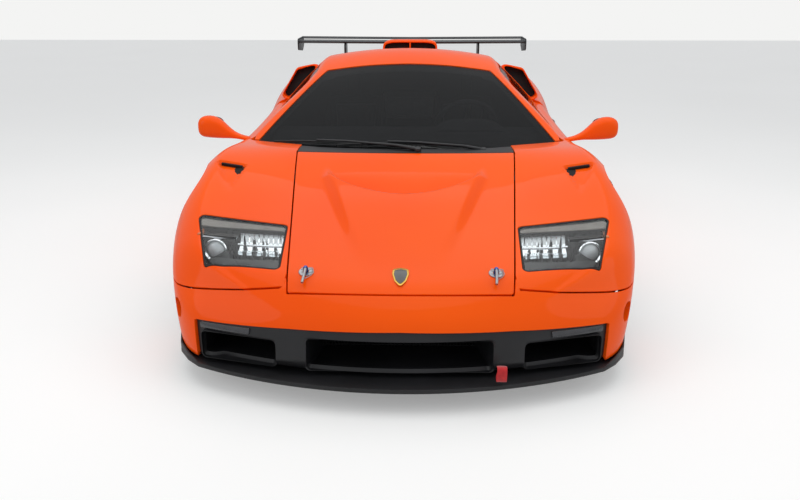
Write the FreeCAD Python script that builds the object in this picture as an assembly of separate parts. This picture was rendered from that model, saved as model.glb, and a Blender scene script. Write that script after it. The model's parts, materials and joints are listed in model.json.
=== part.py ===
import FreeCAD, Part
import math
import os

from FreeCAD import Rotation, Vector

# Mid-engined two-seat supercar, millimetres.
# x is across the car (+X is the car's left), the front faces -Y, +Z is up.
# The origin lies on the ground below the middle of the car.

# Overall sizes
LENGTH = 4430.0
WHEELBASE = 2650.0
FRONT_OVERHANG = 1030.0
FRONT_TRACK = 1650.0
REAR_TRACK = 1670.0
NOSE_Y = -LENGTH / 2
TAIL_Y = LENGTH / 2
FRONT_AXLE_Y = NOSE_Y + FRONT_OVERHANG
REAR_AXLE_Y = FRONT_AXLE_Y + WHEELBASE

# Wheels and tyres
FRONT_TYRE_RADIUS = 314.0
FRONT_TYRE_WIDTH = 245.0
REAR_TYRE_RADIUS = 329.0
REAR_TYRE_WIDTH = 335.0
RIM_RADIUS = 229.0
RIM_WALL = 12.0
TYRE_SHOULDER = 22.0
SPOKES = 5
HUB_RADIUS = 75.0
AXLE_RADIUS = 28.0
AXLE_FIT = 0.05
DISC_RADIUS = 172.0
DISC_THICKNESS = 32.0
FRONT_ARCH_RADIUS = 360.0
REAR_ARCH_RADIUS = 372.0

# Walls and gaps
SIDE_WALL = 70.0
TOP_WALL = 35.0
GREENHOUSE_WALL = 38.0
PANEL_GAP = 5.0
SEAT_GAP = 0.3
GLASS_THICKNESS = 6.0
GLASS_INSET = 4.0

# Door: hinged about an axis across the car at its upper front corner
DOOR_HINGE_Y = -650.0
DOOR_HINGE_Z = 705.0
DOOR_SWEEP_RADIUS = 1170.0
DOOR_BOTTOM_Z = 165.0
DOOR_FRONT_Y = -645.0
BELT_FRONT_Y = -470.0
BELT_FRONT_Z = 745.0
WINDOW_FRONT_Y = -455.0
BELT_REAR_Z = 800.0
ROOF_SPLIT_X = 565.0
HINGE_PIN_RADIUS = 7.0
HINGE_PIN_REACH = 25.0
PIN_FIT = 0.05
HINGE_RELIEF_RADIUS = 25.0
# The door's inner limit and the pillar's outer limit beside the window, both turned
# about the hinge axis: columns radius from the hinge, x
DOOR_INNER_LIMIT = [(0, 810), (120, 803), (200, 797), (860, 548)]
PILLAR_OUTER_LIMIT = [(194, 777), (770, 560), (1200, 560)]
PILLAR_END_Y = 110.0

# Front lid
LID_FRONT_Y = -2050.0
LID_REAR_Y = -1000.0
LID_FRONT_HALF = 410.0
LID_REAR_HALF = 520.0
LID_FRONT_Z = 400.0
LID_SLOPE = 0.287

# Engine lid
ENGINE_LID_FRONT_Y = 700.0
ENGINE_LID_REAR_Y = 1815.0
ENGINE_LID_HALF = 500.0

# Nose and tail plan curves
NOSE_PLAN_RADIUS = 1900.0
SPLITTER_PLAN_RADIUS = 1640.0
TAIL_PLAN_RADIUS = 2600.0

# Steering
KINGPIN_RADIUS = 22.0
KNUCKLE_HALF_HEIGHT = 100.0

# Lower body: sections across the car from nose to tail, with the columns
# station y, bottom z, bottom half width, side half width and height (widest point),
# shoulder half width and height, lid-edge half width and height, crown height
LOWER_SECTIONS = [
    (-2260, 100, 640, 650, 240, 570, 330, 400, 338, 340),
    (-2050, 100, 770, 790, 270, 690, 392, 405, 400, 402),
    (-1850, 105, 870, 885, 330, 775, 470, 425, 462, 460),
    (-1600, 110, 935, 958, 420, 838, 565, 455, 536, 530),
    (-1400, 115, 960, 985, 470, 848, 650, 475, 598, 590),
    (-1185, 120, 965, 987, 490, 852, 715, 500, 662, 650),
    (-1000, 125, 960, 980, 490, 855, 728, 520, 706, 700),
    (-750, 130, 940, 962, 490, 855, 712, 540, 706, 706),
    (-300, 135, 925, 947, 490, 862, 712, 560, 706, 706),
    (200, 140, 930, 952, 500, 872, 738, 560, 730, 730),
    (600, 145, 950, 974, 520, 885, 768, 560, 760, 760),
    (1000, 150, 980, 1008, 540, 905, 822, 560, 815, 815),
    (1465, 160, 995, 1020, 550, 915, 860, 560, 855, 855),
    (1850, 170, 980, 1008, 560, 900, 850, 560, 850, 850),
    (2260, 190, 930, 955, 560, 850, 815, 560, 820, 820),
]

# Cabin and rear deck: sections across the car, with the columns
# station y, belt half width and height, rail half width and height, crown height
UPPER_SECTIONS = [
    (-1100, 925, 430, 915, 500, 655),
    (-750, 850, 600, 845, 672, 776),
    (-350, 850, 688, 672, 862, 915),
    (0, 855, 700, 545, 1000, 1036),
    (300, 860, 715, 525, 1066, 1113),
    (650, 868, 745, 532, 1052, 1100),
    (1100, 880, 780, 600, 990, 1040),
    (1600, 880, 800, 680, 920, 965),
    (2260, 820, 760, 735, 835, 875),
]
UPPER_BASE_Z = 400.0

# Shoulder intake: sections of its outer pod, with the columns
# station y, upper inner x and z, upper outer x and z, lower outer x and z, lower inner x and z
POD_SECTIONS = [
    (530, 590, 1020, 765, 985, 872, 800, 820, 770),
    (950, 620, 990, 800, 955, 905, 830, 840, 790),
    (1450, 690, 920, 830, 905, 925, 845, 850, 800),
]
POD_WALL = 14.0
POD_MOUTH_DEPTH = 330.0

# Floor, sills, tunnel and the flat panels of both bays
FLOOR_Z = 110.0
FLOOR_TOP_Z = 132.0
BAY_FRONT_Y = -1785.0
CABIN_FRONT_Y = -780.0
CABIN_REAR_Y = 600.0
BAY_REAR_Y = 1918.0
BUMPER_FRAME_Y = 1955.0
PANEL_WALL = 20.0
REAR_WALL = 25.0
BAY_WALL = 30.0
RAIL_OUTER_X = 470.0
SILL_INNER_X = 640.0
SILL_OUTER_X = 846.0
SILL_TOP_Z = 380.0
TUNNEL_HALF = 110.0
TUNNEL_TOP_Z = 330.0
LUGGAGE_FLOOR_Z = 268.0
PILLAR_FOOT_Z = 560.0

# Lamps, splitter, tail, wing and cabin fittings
LAMP_BODY_X = 474.0
LAMP_BODY_Z = 355.0
DISC_INSET = 36.0
SPLITTER_TOP_Z = 100.0
SPLITTER_BOTTOM_Z = 81.0
SPLITTER_REAR_HALF = 920.0
SKIRT_TOP_Z = 158.0
SKIRT_GAP = 4.0
BUMPER_SPLIT_Y = 1940.0
PANEL_HALF = 800.0
PANEL_LOW_Z = 560.0
PANEL_HIGH_Z = 775.0
LAMP_Z = 668.0
LAMP_RADIUS = 58.0
LAMP_PLACES = (400.0, 560.0, 720.0)
DIFFUSER_HALF = 620.0
DIFFUSER_TOP_Z = 300.0
PIPE_X = 90.0
PIPE_Z = 430.0
PIPE_RADIUS = 55.0
WING_HALF = 955.0
SCOOP_HALF = 190.0
SEAT_X = 360.0
STEERING_X = 340.0
STEERING_Y = -260.0
STEERING_Z = 700.0
STEERING_TILT = 22.0
COLUMN_END_RADIUS = 9.0

OPEN_SKY_Z = 2000.0
WIDE = 1400.0


def arc(start, through, end):
    return Part.Arc(start, through, end).toShape()


def bulged(start, end, share):
    """Arc from start to end, bulged to its right by a share of the chord."""
    chord = end - start
    side = Vector(chord.z, 0, -chord.x)
    middle = (start + end) * 0.5 + side * share
    return arc(start, middle, end)


def lower_wire(row, side_inset, top_inset):
    y, bottom, bottom_half, side_half, side_z, shoulder_half, shoulder_z, lid_half, lid_z, crown = row
    points = [
        Vector(bottom_half - side_inset, y, bottom - 2 * side_inset),
        Vector(side_half - side_inset, y, side_z),
        Vector(shoulder_half - side_inset, y, shoulder_z - top_inset),
        Vector(lid_half, y, lid_z - top_inset),
    ]
    mirrored = [Vector(-p.x, p.y, p.z) for p in points]
    crown_point = Vector(0, y, crown - top_inset)
    edges = [
        Part.makeLine(mirrored[0], points[0]),
        bulged(points[0], points[1], 0.02),
        bulged(points[1], points[2], 0.16),
        Part.makeLine(points[2], points[3]),
        arc(points[3], crown_point + Vector(0, 0, 0.5), mirrored[3]),
        Part.makeLine(mirrored[3], mirrored[2]),
        bulged(mirrored[2], mirrored[1], 0.16),
        bulged(mirrored[1], mirrored[0], 0.02),
    ]
    return Part.Wire(edges)


def upper_wire(row, inset):
    y, belt_half, belt_z, rail_half, rail_z, crown = row
    right = [
        Vector(belt_half - inset, y, UPPER_BASE_Z - inset),
        Vector(belt_half - inset, y, belt_z),
        Vector(rail_half - inset, y, rail_z - inset),
    ]
    left = [Vector(-p.x, p.y, p.z) for p in right]
    edges = [
        Part.makeLine(left[0], right[0]),
        Part.makeLine(right[0], right[1]),
        bulged(right[1], right[2], 0.03),
        arc(right[2], Vector(0, y, crown - inset), left[2]),
        bulged(left[2], left[1], 0.03),
        Part.makeLine(left[1], left[0]),
    ]
    return Part.Wire(edges)


def lower_solid(side_inset=0.0, top_inset=0.0):
    return Part.makeLoft([lower_wire(row, side_inset, top_inset) for row in LOWER_SECTIONS], True, False)


def upper_solid(inset=0.0):
    return Part.makeLoft([upper_wire(row, inset) for row in UPPER_SECTIONS], True, False)


def block(x0, x1, y0, y1, z0, z1):
    return Part.makeBox(x1 - x0, y1 - y0, z1 - z0, Vector(x0, y0, z0))


def rod(radius, start, end):
    axis = end - start
    return Part.makeCylinder(radius, axis.Length, start, axis)


def across(radius, y, z, x0, x1):
    """A cylinder along X."""
    return rod(radius, Vector(x0, y, z), Vector(x1, y, z))


def side_prism(outline, x0, x1):
    """A prism along X whose side-view outline is a list of (y, z)."""
    points = [Vector(x0, y, z) for y, z in outline]
    face = Part.Face(Part.makePolygon(points + points[:1]))
    return face.extrude(Vector(x1 - x0, 0, 0))


def plan_prism(outline, z0, z1):
    points = [Vector(x, y, z0) for x, y in outline]
    face = Part.Face(Part.makePolygon(points + points[:1]))
    return face.extrude(Vector(0, 0, z1 - z0))


def front_prism(outline, y0, y1):
    """A prism along Y whose front-view outline is a list of (x, z)."""
    points = [Vector(x, y0, z) for x, z in outline]
    face = Part.Face(Part.makePolygon(points + points[:1]))
    return face.extrude(Vector(0, y1 - y0, 0))


def turned(outline, centre_y):
    """A solid of revolution about a vertical axis, from a list of (radius, z)."""
    points = [Vector(0, centre_y - r, z) for r, z in outline]
    face = Part.Face(Part.makePolygon(points + points[:1]))
    return face.revolve(Vector(0, centre_y, 0), Vector(0, 0, 1), 360)


def about_door_hinge(limit, x_end, offset=0.0):
    """A solid of revolution about the door hinge between a (radius, x) limit and a plane x."""
    points = [Vector(x + offset, DOOR_HINGE_Y + radius, DOOR_HINGE_Z) for radius, x in limit]
    last = points[-1]
    points += [Vector(x_end, last.y, last.z), Vector(x_end, points[0].y, points[0].z)]
    face = Part.Face(Part.makePolygon(points + points[:1]))
    return face.revolve(Vector(0, DOOR_HINGE_Y, DOOR_HINGE_Z), Vector(1, 0, 0), 360)


def mirror(shape):
    return shape.mirror(Vector(0, 0, 0), Vector(1, 0, 0))


def both(shape):
    return Part.makeCompound([shape, mirror(shape)])


def union(shapes):
    joined = shapes[0].multiFuse(shapes[1:]) if len(shapes) > 1 else shapes[0]
    return joined.removeSplitter()


def save(name, shape):
    solids = [s for s in shape.Solids if s.Volume > 2000.0]
    out = solids[0] if len(solids) == 1 else Part.makeCompound(solids)
    bad = [s for s in solids if not s.isValid()]
    box = out.BoundBox
    print("%-20s solids %d bad %d volume %.1f l  x %.0f..%.0f y %.0f..%.0f z %.0f..%.0f" % (
        name, len(solids), len(bad), out.Volume / 1e6,
        box.XMin, box.XMax, box.YMin, box.YMax, box.ZMin, box.ZMax))
    out.exportStep("parts/%s.step" % name)
    return out


def nose_envelope(shrink=0.0):
    """The rounded nose in plan and its rake in side view."""
    outline = [
        (0, -300),
        (NOSE_PLAN_RADIUS - 35 - shrink, -300),
        (NOSE_PLAN_RADIUS - 35 - shrink, 110),
        (NOSE_PLAN_RADIUS - 65 - shrink, 284),
        (NOSE_PLAN_RADIUS - 150 - shrink, 392),
        (NOSE_PLAN_RADIUS - 240 - shrink, 900),
        (NOSE_PLAN_RADIUS - 240 - shrink, OPEN_SKY_Z),
        (0, OPEN_SKY_Z),
    ]
    front = turned(outline, NOSE_Y + NOSE_PLAN_RADIUS)
    return front.fuse(block(-WIDE, WIDE, NOSE_Y + 700, TAIL_Y + 400, -300, OPEN_SKY_Z))


def tail_envelope(shrink=0.0):
    outline = [
        (0, -300),
        (TAIL_PLAN_RADIUS - 60 - shrink, -300),
        (TAIL_PLAN_RADIUS - 15 - shrink, 420),
        (TAIL_PLAN_RADIUS - 60 - shrink, 800),
        (TAIL_PLAN_RADIUS - 140 - shrink, OPEN_SKY_Z),
        (0, OPEN_SKY_Z),
    ]
    return turned(outline, TAIL_Y - TAIL_PLAN_RADIUS)


def wheel_wells():
    front = across(FRONT_ARCH_RADIUS, FRONT_AXLE_Y, FRONT_TYRE_RADIUS, 700, WIDE)
    front = front.fuse(across(FRONT_ARCH_RADIUS - 28, FRONT_AXLE_Y, FRONT_TYRE_RADIUS, 500, 700))
    rear = across(REAR_ARCH_RADIUS, REAR_AXLE_Y, REAR_TYRE_RADIUS, 625, WIDE)
    return [front, rear, mirror(front), mirror(rear)]


def lid_plan(gap):
    """The front lid's outline extruded square to its slope, grown by a gap."""
    front_arc_rise = 55.0
    outline = [
        (-LID_FRONT_HALF - gap, LID_FRONT_Y + front_arc_rise),
        (-LID_FRONT_HALF * 0.5, LID_FRONT_Y + front_arc_rise * 0.25 - gap),
        (0, LID_FRONT_Y - gap),
        (LID_FRONT_HALF * 0.5, LID_FRONT_Y + front_arc_rise * 0.25 - gap),
        (LID_FRONT_HALF + gap, LID_FRONT_Y + front_arc_rise),
        (LID_REAR_HALF + gap, LID_REAR_Y + gap),
        (-LID_REAR_HALF - gap, LID_REAR_Y + gap),
    ]
    lean = math.atan(LID_SLOPE)
    direction = Vector(0, -math.sin(lean), math.cos(lean))
    depth = 120.0
    height = 300.0
    points = []
    for x, y in outline:
        surface = Vector(x, y, LID_FRONT_Z + (y - LID_FRONT_Y) * LID_SLOPE)
        points.append(surface - direction * depth)
    face = Part.Face(Part.makePolygon(points + points[:1]))
    return face.extrude(direction * height)


def engine_lid_plan(gap):
    outline = [
        (-ENGINE_LID_HALF - gap, ENGINE_LID_FRONT_Y - gap),
        (ENGINE_LID_HALF + gap, ENGINE_LID_FRONT_Y - gap),
        (ENGINE_LID_HALF + 60 + gap, ENGINE_LID_REAR_Y + gap),
        (-ENGINE_LID_HALF - 60 - gap, ENGINE_LID_REAR_Y + gap),
    ]
    lean = math.atan(0.14)
    direction = Vector(0, math.sin(lean), math.cos(lean))
    points = [Vector(x, y, 850 - (y - ENGINE_LID_FRONT_Y) * 0.14) for x, y in outline]
    face = Part.Face(Part.makePolygon(points + points[:1]))
    return face.extrude(direction * 600)


def belt_z(y):
    """Height of the door's top edge, from the pillar foot back to its rear edge."""
    rise = BELT_REAR_Z - DOOR_HINGE_Z
    rear_y = DOOR_HINGE_Y + math.sqrt(DOOR_SWEEP_RADIUS ** 2 - rise ** 2)
    share = (y - BELT_FRONT_Y) / (rear_y - BELT_FRONT_Y)
    return BELT_FRONT_Z + (BELT_REAR_Z - BELT_FRONT_Z) * share


def door_outline(gap):
    """The left door in side view: its rear edge runs round the hinge axis."""
    radius = DOOR_SWEEP_RADIUS + gap
    bottom = DOOR_BOTTOM_Z - gap
    front = DOOR_FRONT_Y - gap
    top = BELT_REAR_Z + gap

    def on_sweep(z):
        return DOOR_HINGE_Y + math.sqrt(radius ** 2 - (z - DOOR_HINGE_Z) ** 2)

    middle = (bottom + top) / 2
    edges = [
        Part.makeLine(Vector(0, front, bottom), Vector(0, on_sweep(bottom), bottom)),
        arc(Vector(0, on_sweep(bottom), bottom), Vector(0, on_sweep(middle), middle),
            Vector(0, on_sweep(top), top)),
        Part.makeLine(Vector(0, on_sweep(top), top), Vector(0, BELT_FRONT_Y, BELT_FRONT_Z + gap)),
        Part.makeLine(Vector(0, BELT_FRONT_Y, BELT_FRONT_Z + gap), Vector(0, front, BELT_FRONT_Z - 25 + gap)),
        Part.makeLine(Vector(0, front, BELT_FRONT_Z - 25 + gap), Vector(0, front, bottom)),
    ]
    return Part.Face(Part.Wire(edges))


def door_region(gap):
    """Everything the door takes, left side only: the pillar's foot stands inside its corner."""
    main = door_outline(gap)
    main.translate(Vector(600, 0, 0))
    main = main.extrude(Vector(800, 0, 0))
    foot = block(590, 900, DOOR_FRONT_Y - 60, BELT_FRONT_Y - gap, PILLAR_FOOT_Z + gap, 900)
    return main.cut(foot.common(about_door_hinge(DOOR_INNER_LIMIT, 500, -gap)))


def window_region(gap):
    """The side window, above the belt and behind the pillar, left side only."""
    radius = DOOR_SWEEP_RADIUS - 25 + gap
    low_front = Vector(0, WINDOW_FRONT_Y - gap, belt_z(WINDOW_FRONT_Y - gap) + SEAT_GAP)
    low_rear_z = BELT_REAR_Z + SEAT_GAP

    def on_sweep(z):
        return DOOR_HINGE_Y + math.sqrt(radius ** 2 - (z - DOOR_HINGE_Z) ** 2)

    top = 1010.0
    middle = (low_rear_z + top) / 2
    edges = [
        Part.makeLine(low_front, Vector(0, on_sweep(low_rear_z), low_rear_z)),
        arc(Vector(0, on_sweep(low_rear_z), low_rear_z), Vector(0, on_sweep(middle), middle),
            Vector(0, on_sweep(top), top)),
        Part.makeLine(Vector(0, on_sweep(top), top), Vector(0, 110 - gap, top)),
        Part.makeLine(Vector(0, 110 - gap, top), low_front),
    ]
    face = Part.Face(Part.Wire(edges))
    face.translate(Vector(ROOF_SPLIT_X - gap, 0, 0))
    return face.extrude(Vector(500, 0, 0))


def windscreen_region(margin):
    """The windscreen opening seen from above."""
    outline = [
        (-790 + margin, -735 - margin * 0.3),
        (-420, -905 + margin),
        (0, -950 + margin),
        (420, -905 + margin),
        (790 - margin, -735 - margin * 0.3),
        (490 - margin, 15 - margin),
        (0, 40 - margin),
        (-490 + margin, 15 - margin),
    ]
    return plan_prism(outline, 600, OPEN_SKY_Z)


def build_shell():
    lower = lower_solid()
    upper = upper_solid()
    outer = lower.fuse(upper).common(nose_envelope()).common(tail_envelope())
    hollow_lower = lower_solid(SIDE_WALL, TOP_WALL).common(nose_envelope(60)).common(tail_envelope(60))
    upper_space = block(-WIDE, WIDE, -1090, TAIL_Y - 80, 300, OPEN_SKY_Z)
    hollow_upper = upper_solid(GREENHOUSE_WALL).common(upper_space)
    core_lower = lower_solid(SIDE_WALL + SEAT_GAP, TOP_WALL + SEAT_GAP)
    core_lower = core_lower.common(nose_envelope(60 + SEAT_GAP)).common(tail_envelope(60 + SEAT_GAP))
    core_upper = upper_solid(GREENHOUSE_WALL + SEAT_GAP).common(upper_space)
    shell = outer.cut(hollow_lower.fuse(hollow_upper))
    return shell, core_lower.fuse(core_upper)


def quad_loft(rows, inset):
    """A ruled loft through four-cornered sections, each drawn in by an inset."""
    wires = []
    for y, *corners in rows:
        points = [Vector(corners[i], y, corners[i + 1]) for i in range(0, 8, 2)]
        centre = (points[0] + points[1] + points[2] + points[3]) * 0.25
        moved = []
        for point in points:
            inward = centre - point
            moved.append(point + inward * (inset * 1.4 / inward.Length) if inset else point)
        wires.append(Part.makePolygon(moved + moved[:1]))
    return Part.makeLoft(wires, True, True)


def wheel(track, axle_y, tyre_radius, width):
    """A left wheel: its rim with hub, spokes and brake disc, and its tyre."""
    centre = track / 2
    out = centre + width / 2

    def ring(outer_radius, inner_radius, x0, x1):
        body = across(outer_radius, axle_y, tyre_radius, x0, x1)
        return body.cut(across(inner_radius, axle_y, tyre_radius, x0 - 1, x1 + 1))

    inner_edge = centre - width / 2 + 8
    outer_edge = out - 8
    barrel = ring(RIM_RADIUS, RIM_RADIUS - RIM_WALL, inner_edge, outer_edge)
    hub = across(HUB_RADIUS, axle_y, tyre_radius, centre - DISC_INSET, out - 34)
    disc = across(DISC_RADIUS, axle_y, tyre_radius, centre - DISC_INSET, centre - DISC_INSET + DISC_THICKNESS)
    spokes = []
    for k in range(SPOKES):
        outline = [(-36, 40), (36, 40), (27, RIM_RADIUS - RIM_WALL + 4), (-27, RIM_RADIUS - RIM_WALL + 4)]
        face_points = [Vector(out - 58, axle_y + a, tyre_radius + r) for a, r in outline]
        spoke = Part.Face(Part.makePolygon(face_points + face_points[:1])).extrude(Vector(34, 0, 0))
        spoke.rotate(Vector(0, axle_y, tyre_radius), Vector(1, 0, 0), k * 360.0 / SPOKES)
        spokes.append(spoke)
    rim = union([barrel, hub, disc] + spokes)
    rim = rim.cut(across(AXLE_RADIUS + AXLE_FIT, axle_y, tyre_radius, centre - 60, out - 50))

    half = width / 2
    bead = RIM_RADIUS + SEAT_GAP
    outer_half = [
        (half - 12, bead), (half, (bead + tyre_radius) / 2), (half - 6, tyre_radius - TYRE_SHOULDER),
        (half - TYRE_SHOULDER, tyre_radius - 4), (half - 40, tyre_radius),
    ]
    profile = outer_half + [(-u, r) for u, r in outer_half[::-1]]
    points = [Vector(centre + u, axle_y, tyre_radius + r) for u, r in profile]
    face = Part.Face(Part.makePolygon(points + points[:1]))
    tyre = face.revolve(Vector(0, axle_y, tyre_radius), Vector(1, 0, 0), 360)
    return rim, tyre


def knuckle():
    """The left steering knuckle: kingpin post, stub axle and brake caliper."""
    z = FRONT_TYRE_RADIUS
    axle_end = FRONT_TRACK / 2 + FRONT_TYRE_WIDTH / 2 - 54
    disc_inner = FRONT_TRACK / 2 - DISC_INSET
    clear = PANEL_GAP
    post_x = kingpin_x()
    low = z - KNUCKLE_HALF_HEIGHT
    high = z + KNUCKLE_HALF_HEIGHT
    post = rod(KINGPIN_RADIUS, Vector(post_x, FRONT_AXLE_Y, low), Vector(post_x, FRONT_AXLE_Y, high))
    axle = across(AXLE_RADIUS, FRONT_AXLE_Y, z, post_x, axle_end)
    caliper = block(disc_inner - 30, disc_inner + DISC_THICKNESS + 30, FRONT_AXLE_Y + 118,
                    FRONT_AXLE_Y + 196, z - 60, z + 60)
    slot = block(disc_inner - clear, disc_inner + DISC_THICKNESS + clear, FRONT_AXLE_Y + 90,
                 FRONT_AXLE_Y + DISC_RADIUS + clear, z - 90, z + 90)
    bridge = block(post_x - 14, disc_inner - clear, FRONT_AXLE_Y + 20, FRONT_AXLE_Y + 150, z - 30, z + 30)
    body = union([post, axle, caliper.cut(slot), bridge])
    barrel_room = across(RIM_RADIUS - RIM_WALL - clear, FRONT_AXLE_Y, z, post_x - 60, axle_end + 40)
    return body.common(barrel_room)


def kingpin_x():
    """The steering axis stands just inboard of the brake disc."""
    return FRONT_TRACK / 2 - DISC_INSET - PANEL_GAP - KINGPIN_RADIUS


def wishbone(z, side):
    """One left front wishbone; side is +1 above the knuckle and -1 below it."""
    tip_x = kingpin_x()
    root_x = RAIL_OUTER_X + SEAT_GAP
    spread = 120.0
    thickness = 20.0
    outline = [
        (tip_x + 16, FRONT_AXLE_Y - 18), (tip_x + 16, FRONT_AXLE_Y + 18),
        (root_x, FRONT_AXLE_Y + spread), (root_x, FRONT_AXLE_Y + spread - 34),
        (tip_x - 50, FRONT_AXLE_Y), (root_x, FRONT_AXLE_Y - spread + 34), (root_x, FRONT_AXLE_Y - spread),
    ]
    face_z = z + side * (KNUCKLE_HALF_HEIGHT + SEAT_GAP)
    low = face_z if side > 0 else face_z - thickness
    return plan_prism(outline, low, low + thickness)


def rear_corner():
    """The left rear hub carrier with its stub axle and two links to the frame."""
    z = REAR_TYRE_RADIUS
    disc_inner = REAR_TRACK / 2 - DISC_INSET
    carrier_x = disc_inner - PANEL_GAP - 20
    carrier = block(carrier_x - 20, carrier_x + 20, REAR_AXLE_Y - 40, REAR_AXLE_Y + 40, z - 110, z + 110)
    axle = across(AXLE_RADIUS, REAR_AXLE_Y, z, carrier_x, REAR_TRACK / 2 + REAR_TYRE_WIDTH / 2 - 54)
    links = []
    for link_z in (z - 95, z + 75):
        links.append(block(RAIL_OUTER_X + SEAT_GAP, carrier_x, REAR_AXLE_Y - 22, REAR_AXLE_Y + 22,
                           link_z, link_z + 22))
    return union([carrier, axle] + links)


def lamp_room():
    """The room a left headlamp body takes in the panels behind its cover."""
    low = LAMP_BODY_Z - SEAT_GAP
    return headlamp_plan(0).common(block(LAMP_BODY_X, WIDE, NOSE_Y, 0, low, OPEN_SKY_Z))


def tub_shape(core):
    """Floor, sills and tunnel."""
    front = CABIN_FRONT_Y + SEAT_GAP
    rear = CABIN_REAR_Y - SEAT_GAP
    floor = core.common(block(-WIDE, WIDE, BAY_FRONT_Y - 5, BAY_REAR_Y + 12, FLOOR_Z, FLOOR_TOP_Z))
    sill = block(SILL_INNER_X, SILL_OUTER_X, front, rear, FLOOR_Z, SILL_TOP_Z)
    tunnel = block(-TUNNEL_HALF, TUNNEL_HALF, front, rear, FLOOR_Z, TUNNEL_TOP_Z)
    return union([floor, sill, mirror(sill), tunnel]).cut(wheel_wells())


def frame_panels(core):
    """Flat panels that stand on the floor: bulkheads across the car, bay walls along it."""
    def stand(x0, x1, y0, y1):
        return core.common(block(x0, x1, y0, y1, FLOOR_TOP_Z + SEAT_GAP, OPEN_SKY_Z))

    nose = stand(-WIDE, WIDE, BAY_FRONT_Y - PANEL_WALL, BAY_FRONT_Y)
    cabin_front = stand(-WIDE, WIDE, CABIN_FRONT_Y - PANEL_WALL, CABIN_FRONT_Y)
    cabin_rear = stand(-WIDE, WIDE, CABIN_REAR_Y, CABIN_REAR_Y + REAR_WALL)
    tail = stand(-WIDE, WIDE, BAY_REAR_Y, BUMPER_FRAME_Y)
    window = block(-420, 420, CABIN_REAR_Y - 10, CABIN_REAR_Y + REAR_WALL + 10, 640, 980)
    inner_x = RAIL_OUTER_X - BAY_WALL
    front_wall = stand(inner_x, RAIL_OUTER_X, BAY_FRONT_Y + SEAT_GAP, CABIN_FRONT_Y - PANEL_WALL - SEAT_GAP)
    rear_wall = stand(inner_x, RAIL_OUTER_X, CABIN_REAR_Y + REAR_WALL + SEAT_GAP, BAY_REAR_Y - SEAT_GAP)
    shelf = block(-inner_x + SEAT_GAP, inner_x - SEAT_GAP, BAY_FRONT_Y + SEAT_GAP,
                  CABIN_FRONT_Y - PANEL_WALL - SEAT_GAP, LUGGAGE_FLOOR_Z - 18, LUGGAGE_FLOOR_Z)
    panels = [nose, cabin_front, cabin_rear.cut(window), tail, front_wall, mirror(front_wall),
              rear_wall, mirror(rear_wall), shelf]
    cutters = wheel_wells() + [lamp_room(), mirror(lamp_room())]
    return Part.makeCompound([panel.cut(cutters) for panel in panels])


def seat_shape():
    low = FLOOR_TOP_Z + SEAT_GAP
    outline = [(-140, low), (-170, 300), (-110, 345), (230, 265), (330, 300), (500, 800), (560, 800),
               (585, 740), (440, low)]
    base = side_prism(outline, SEAT_X - 225, SEAT_X + 225)
    hollow_outline = [(-200, 330), (-80, 316), (215, 236), (300, 262), (395, 560), (300, 700), (-200, 500)]
    hollow = side_prism(hollow_outline, SEAT_X - 150, SEAT_X + 150)
    return base.cut(hollow)


def wing_shape():
    blade_outline = [(1872, 1098), (1885, 1112), (1950, 1122), (2040, 1118), (2135, 1104), (2135, 1098),
                     (2040, 1096), (1950, 1090), (1885, 1088)]
    blade = side_prism(blade_outline, -WING_HALF, WING_HALF)
    plate = side_prism([(1850, 1030), (1850, 1120), (2160, 1135), (2160, 1060), (2080, 1015)],
                       WING_HALF, WING_HALF + 9)
    upright = side_prism([(1905, 700), (1890, 1094), (2080, 1094), (2100, 700)], 560, 574)
    return union([blade, plate, mirror(plate), upright, mirror(upright)])


def scoop_shape(skin_clear):
    outline = [(760, 900), (760, 1150), (780, 1158), (930, 1156), (1400, 1000), (1400, 900)]
    body = side_prism(outline, -SCOOP_HALF, SCOOP_HALF)
    pocket = side_prism([(750, 1098), (750, 1148), (930, 1142), (930, 1090)], 6, SCOOP_HALF - 10)
    body = body.cut([pocket, mirror(pocket)])
    return body.cut(skin_clear)


def mirror_shape(skin_clear):
    head_rows = [
        (-645, 1000, 815, 1090, 808, 1095, 722, 1000, 728),
        (-600, 985, 822, 1108, 815, 1115, 702, 988, 706),
        (-545, 985, 820, 1110, 815, 1115, 700, 988, 706),
    ]
    head = quad_loft(head_rows, 0)
    arm = front_prism([(830, 690), (880, 680), (1010, 728), (1010, 752), (900, 722), (840, 722)], -625, -575)
    return head.fuse(arm).removeSplitter().cut(skin_clear)


def headlamp_plan(gap):
    outline = [(452 + gap, -1925 + gap), (462 + gap, -1638 - gap), (836 - gap, -1612 - gap),
               (757 - gap, -1885 + gap)]
    return plan_prism(outline, 250, 800)


def duct_outline(gap):
    left_half = [(760 - gap, 104 + gap), (774 - gap, 258 - gap), (400, 276 - gap)]
    right_half = [(-x, z) for x, z in left_half[::-1]]
    return left_half + [(0, 284 - gap)] + right_half


def nose_seam(drop):
    """Everything below the seam between the front bumper and the panels above it."""
    points = [(-WIDE, 350), (-1000, 350), (-880, 342), (-430, 394), (-425, 430), (425, 430), (430, 394),
              (880, 342), (1000, 350), (WIDE, 350)]
    outline = [(x, z + drop) for x, z in points] + [(WIDE, -100), (-WIDE, -100)]
    return front_prism(outline, NOSE_Y - 100, FRONT_AXLE_Y - 200 + drop)


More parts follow.
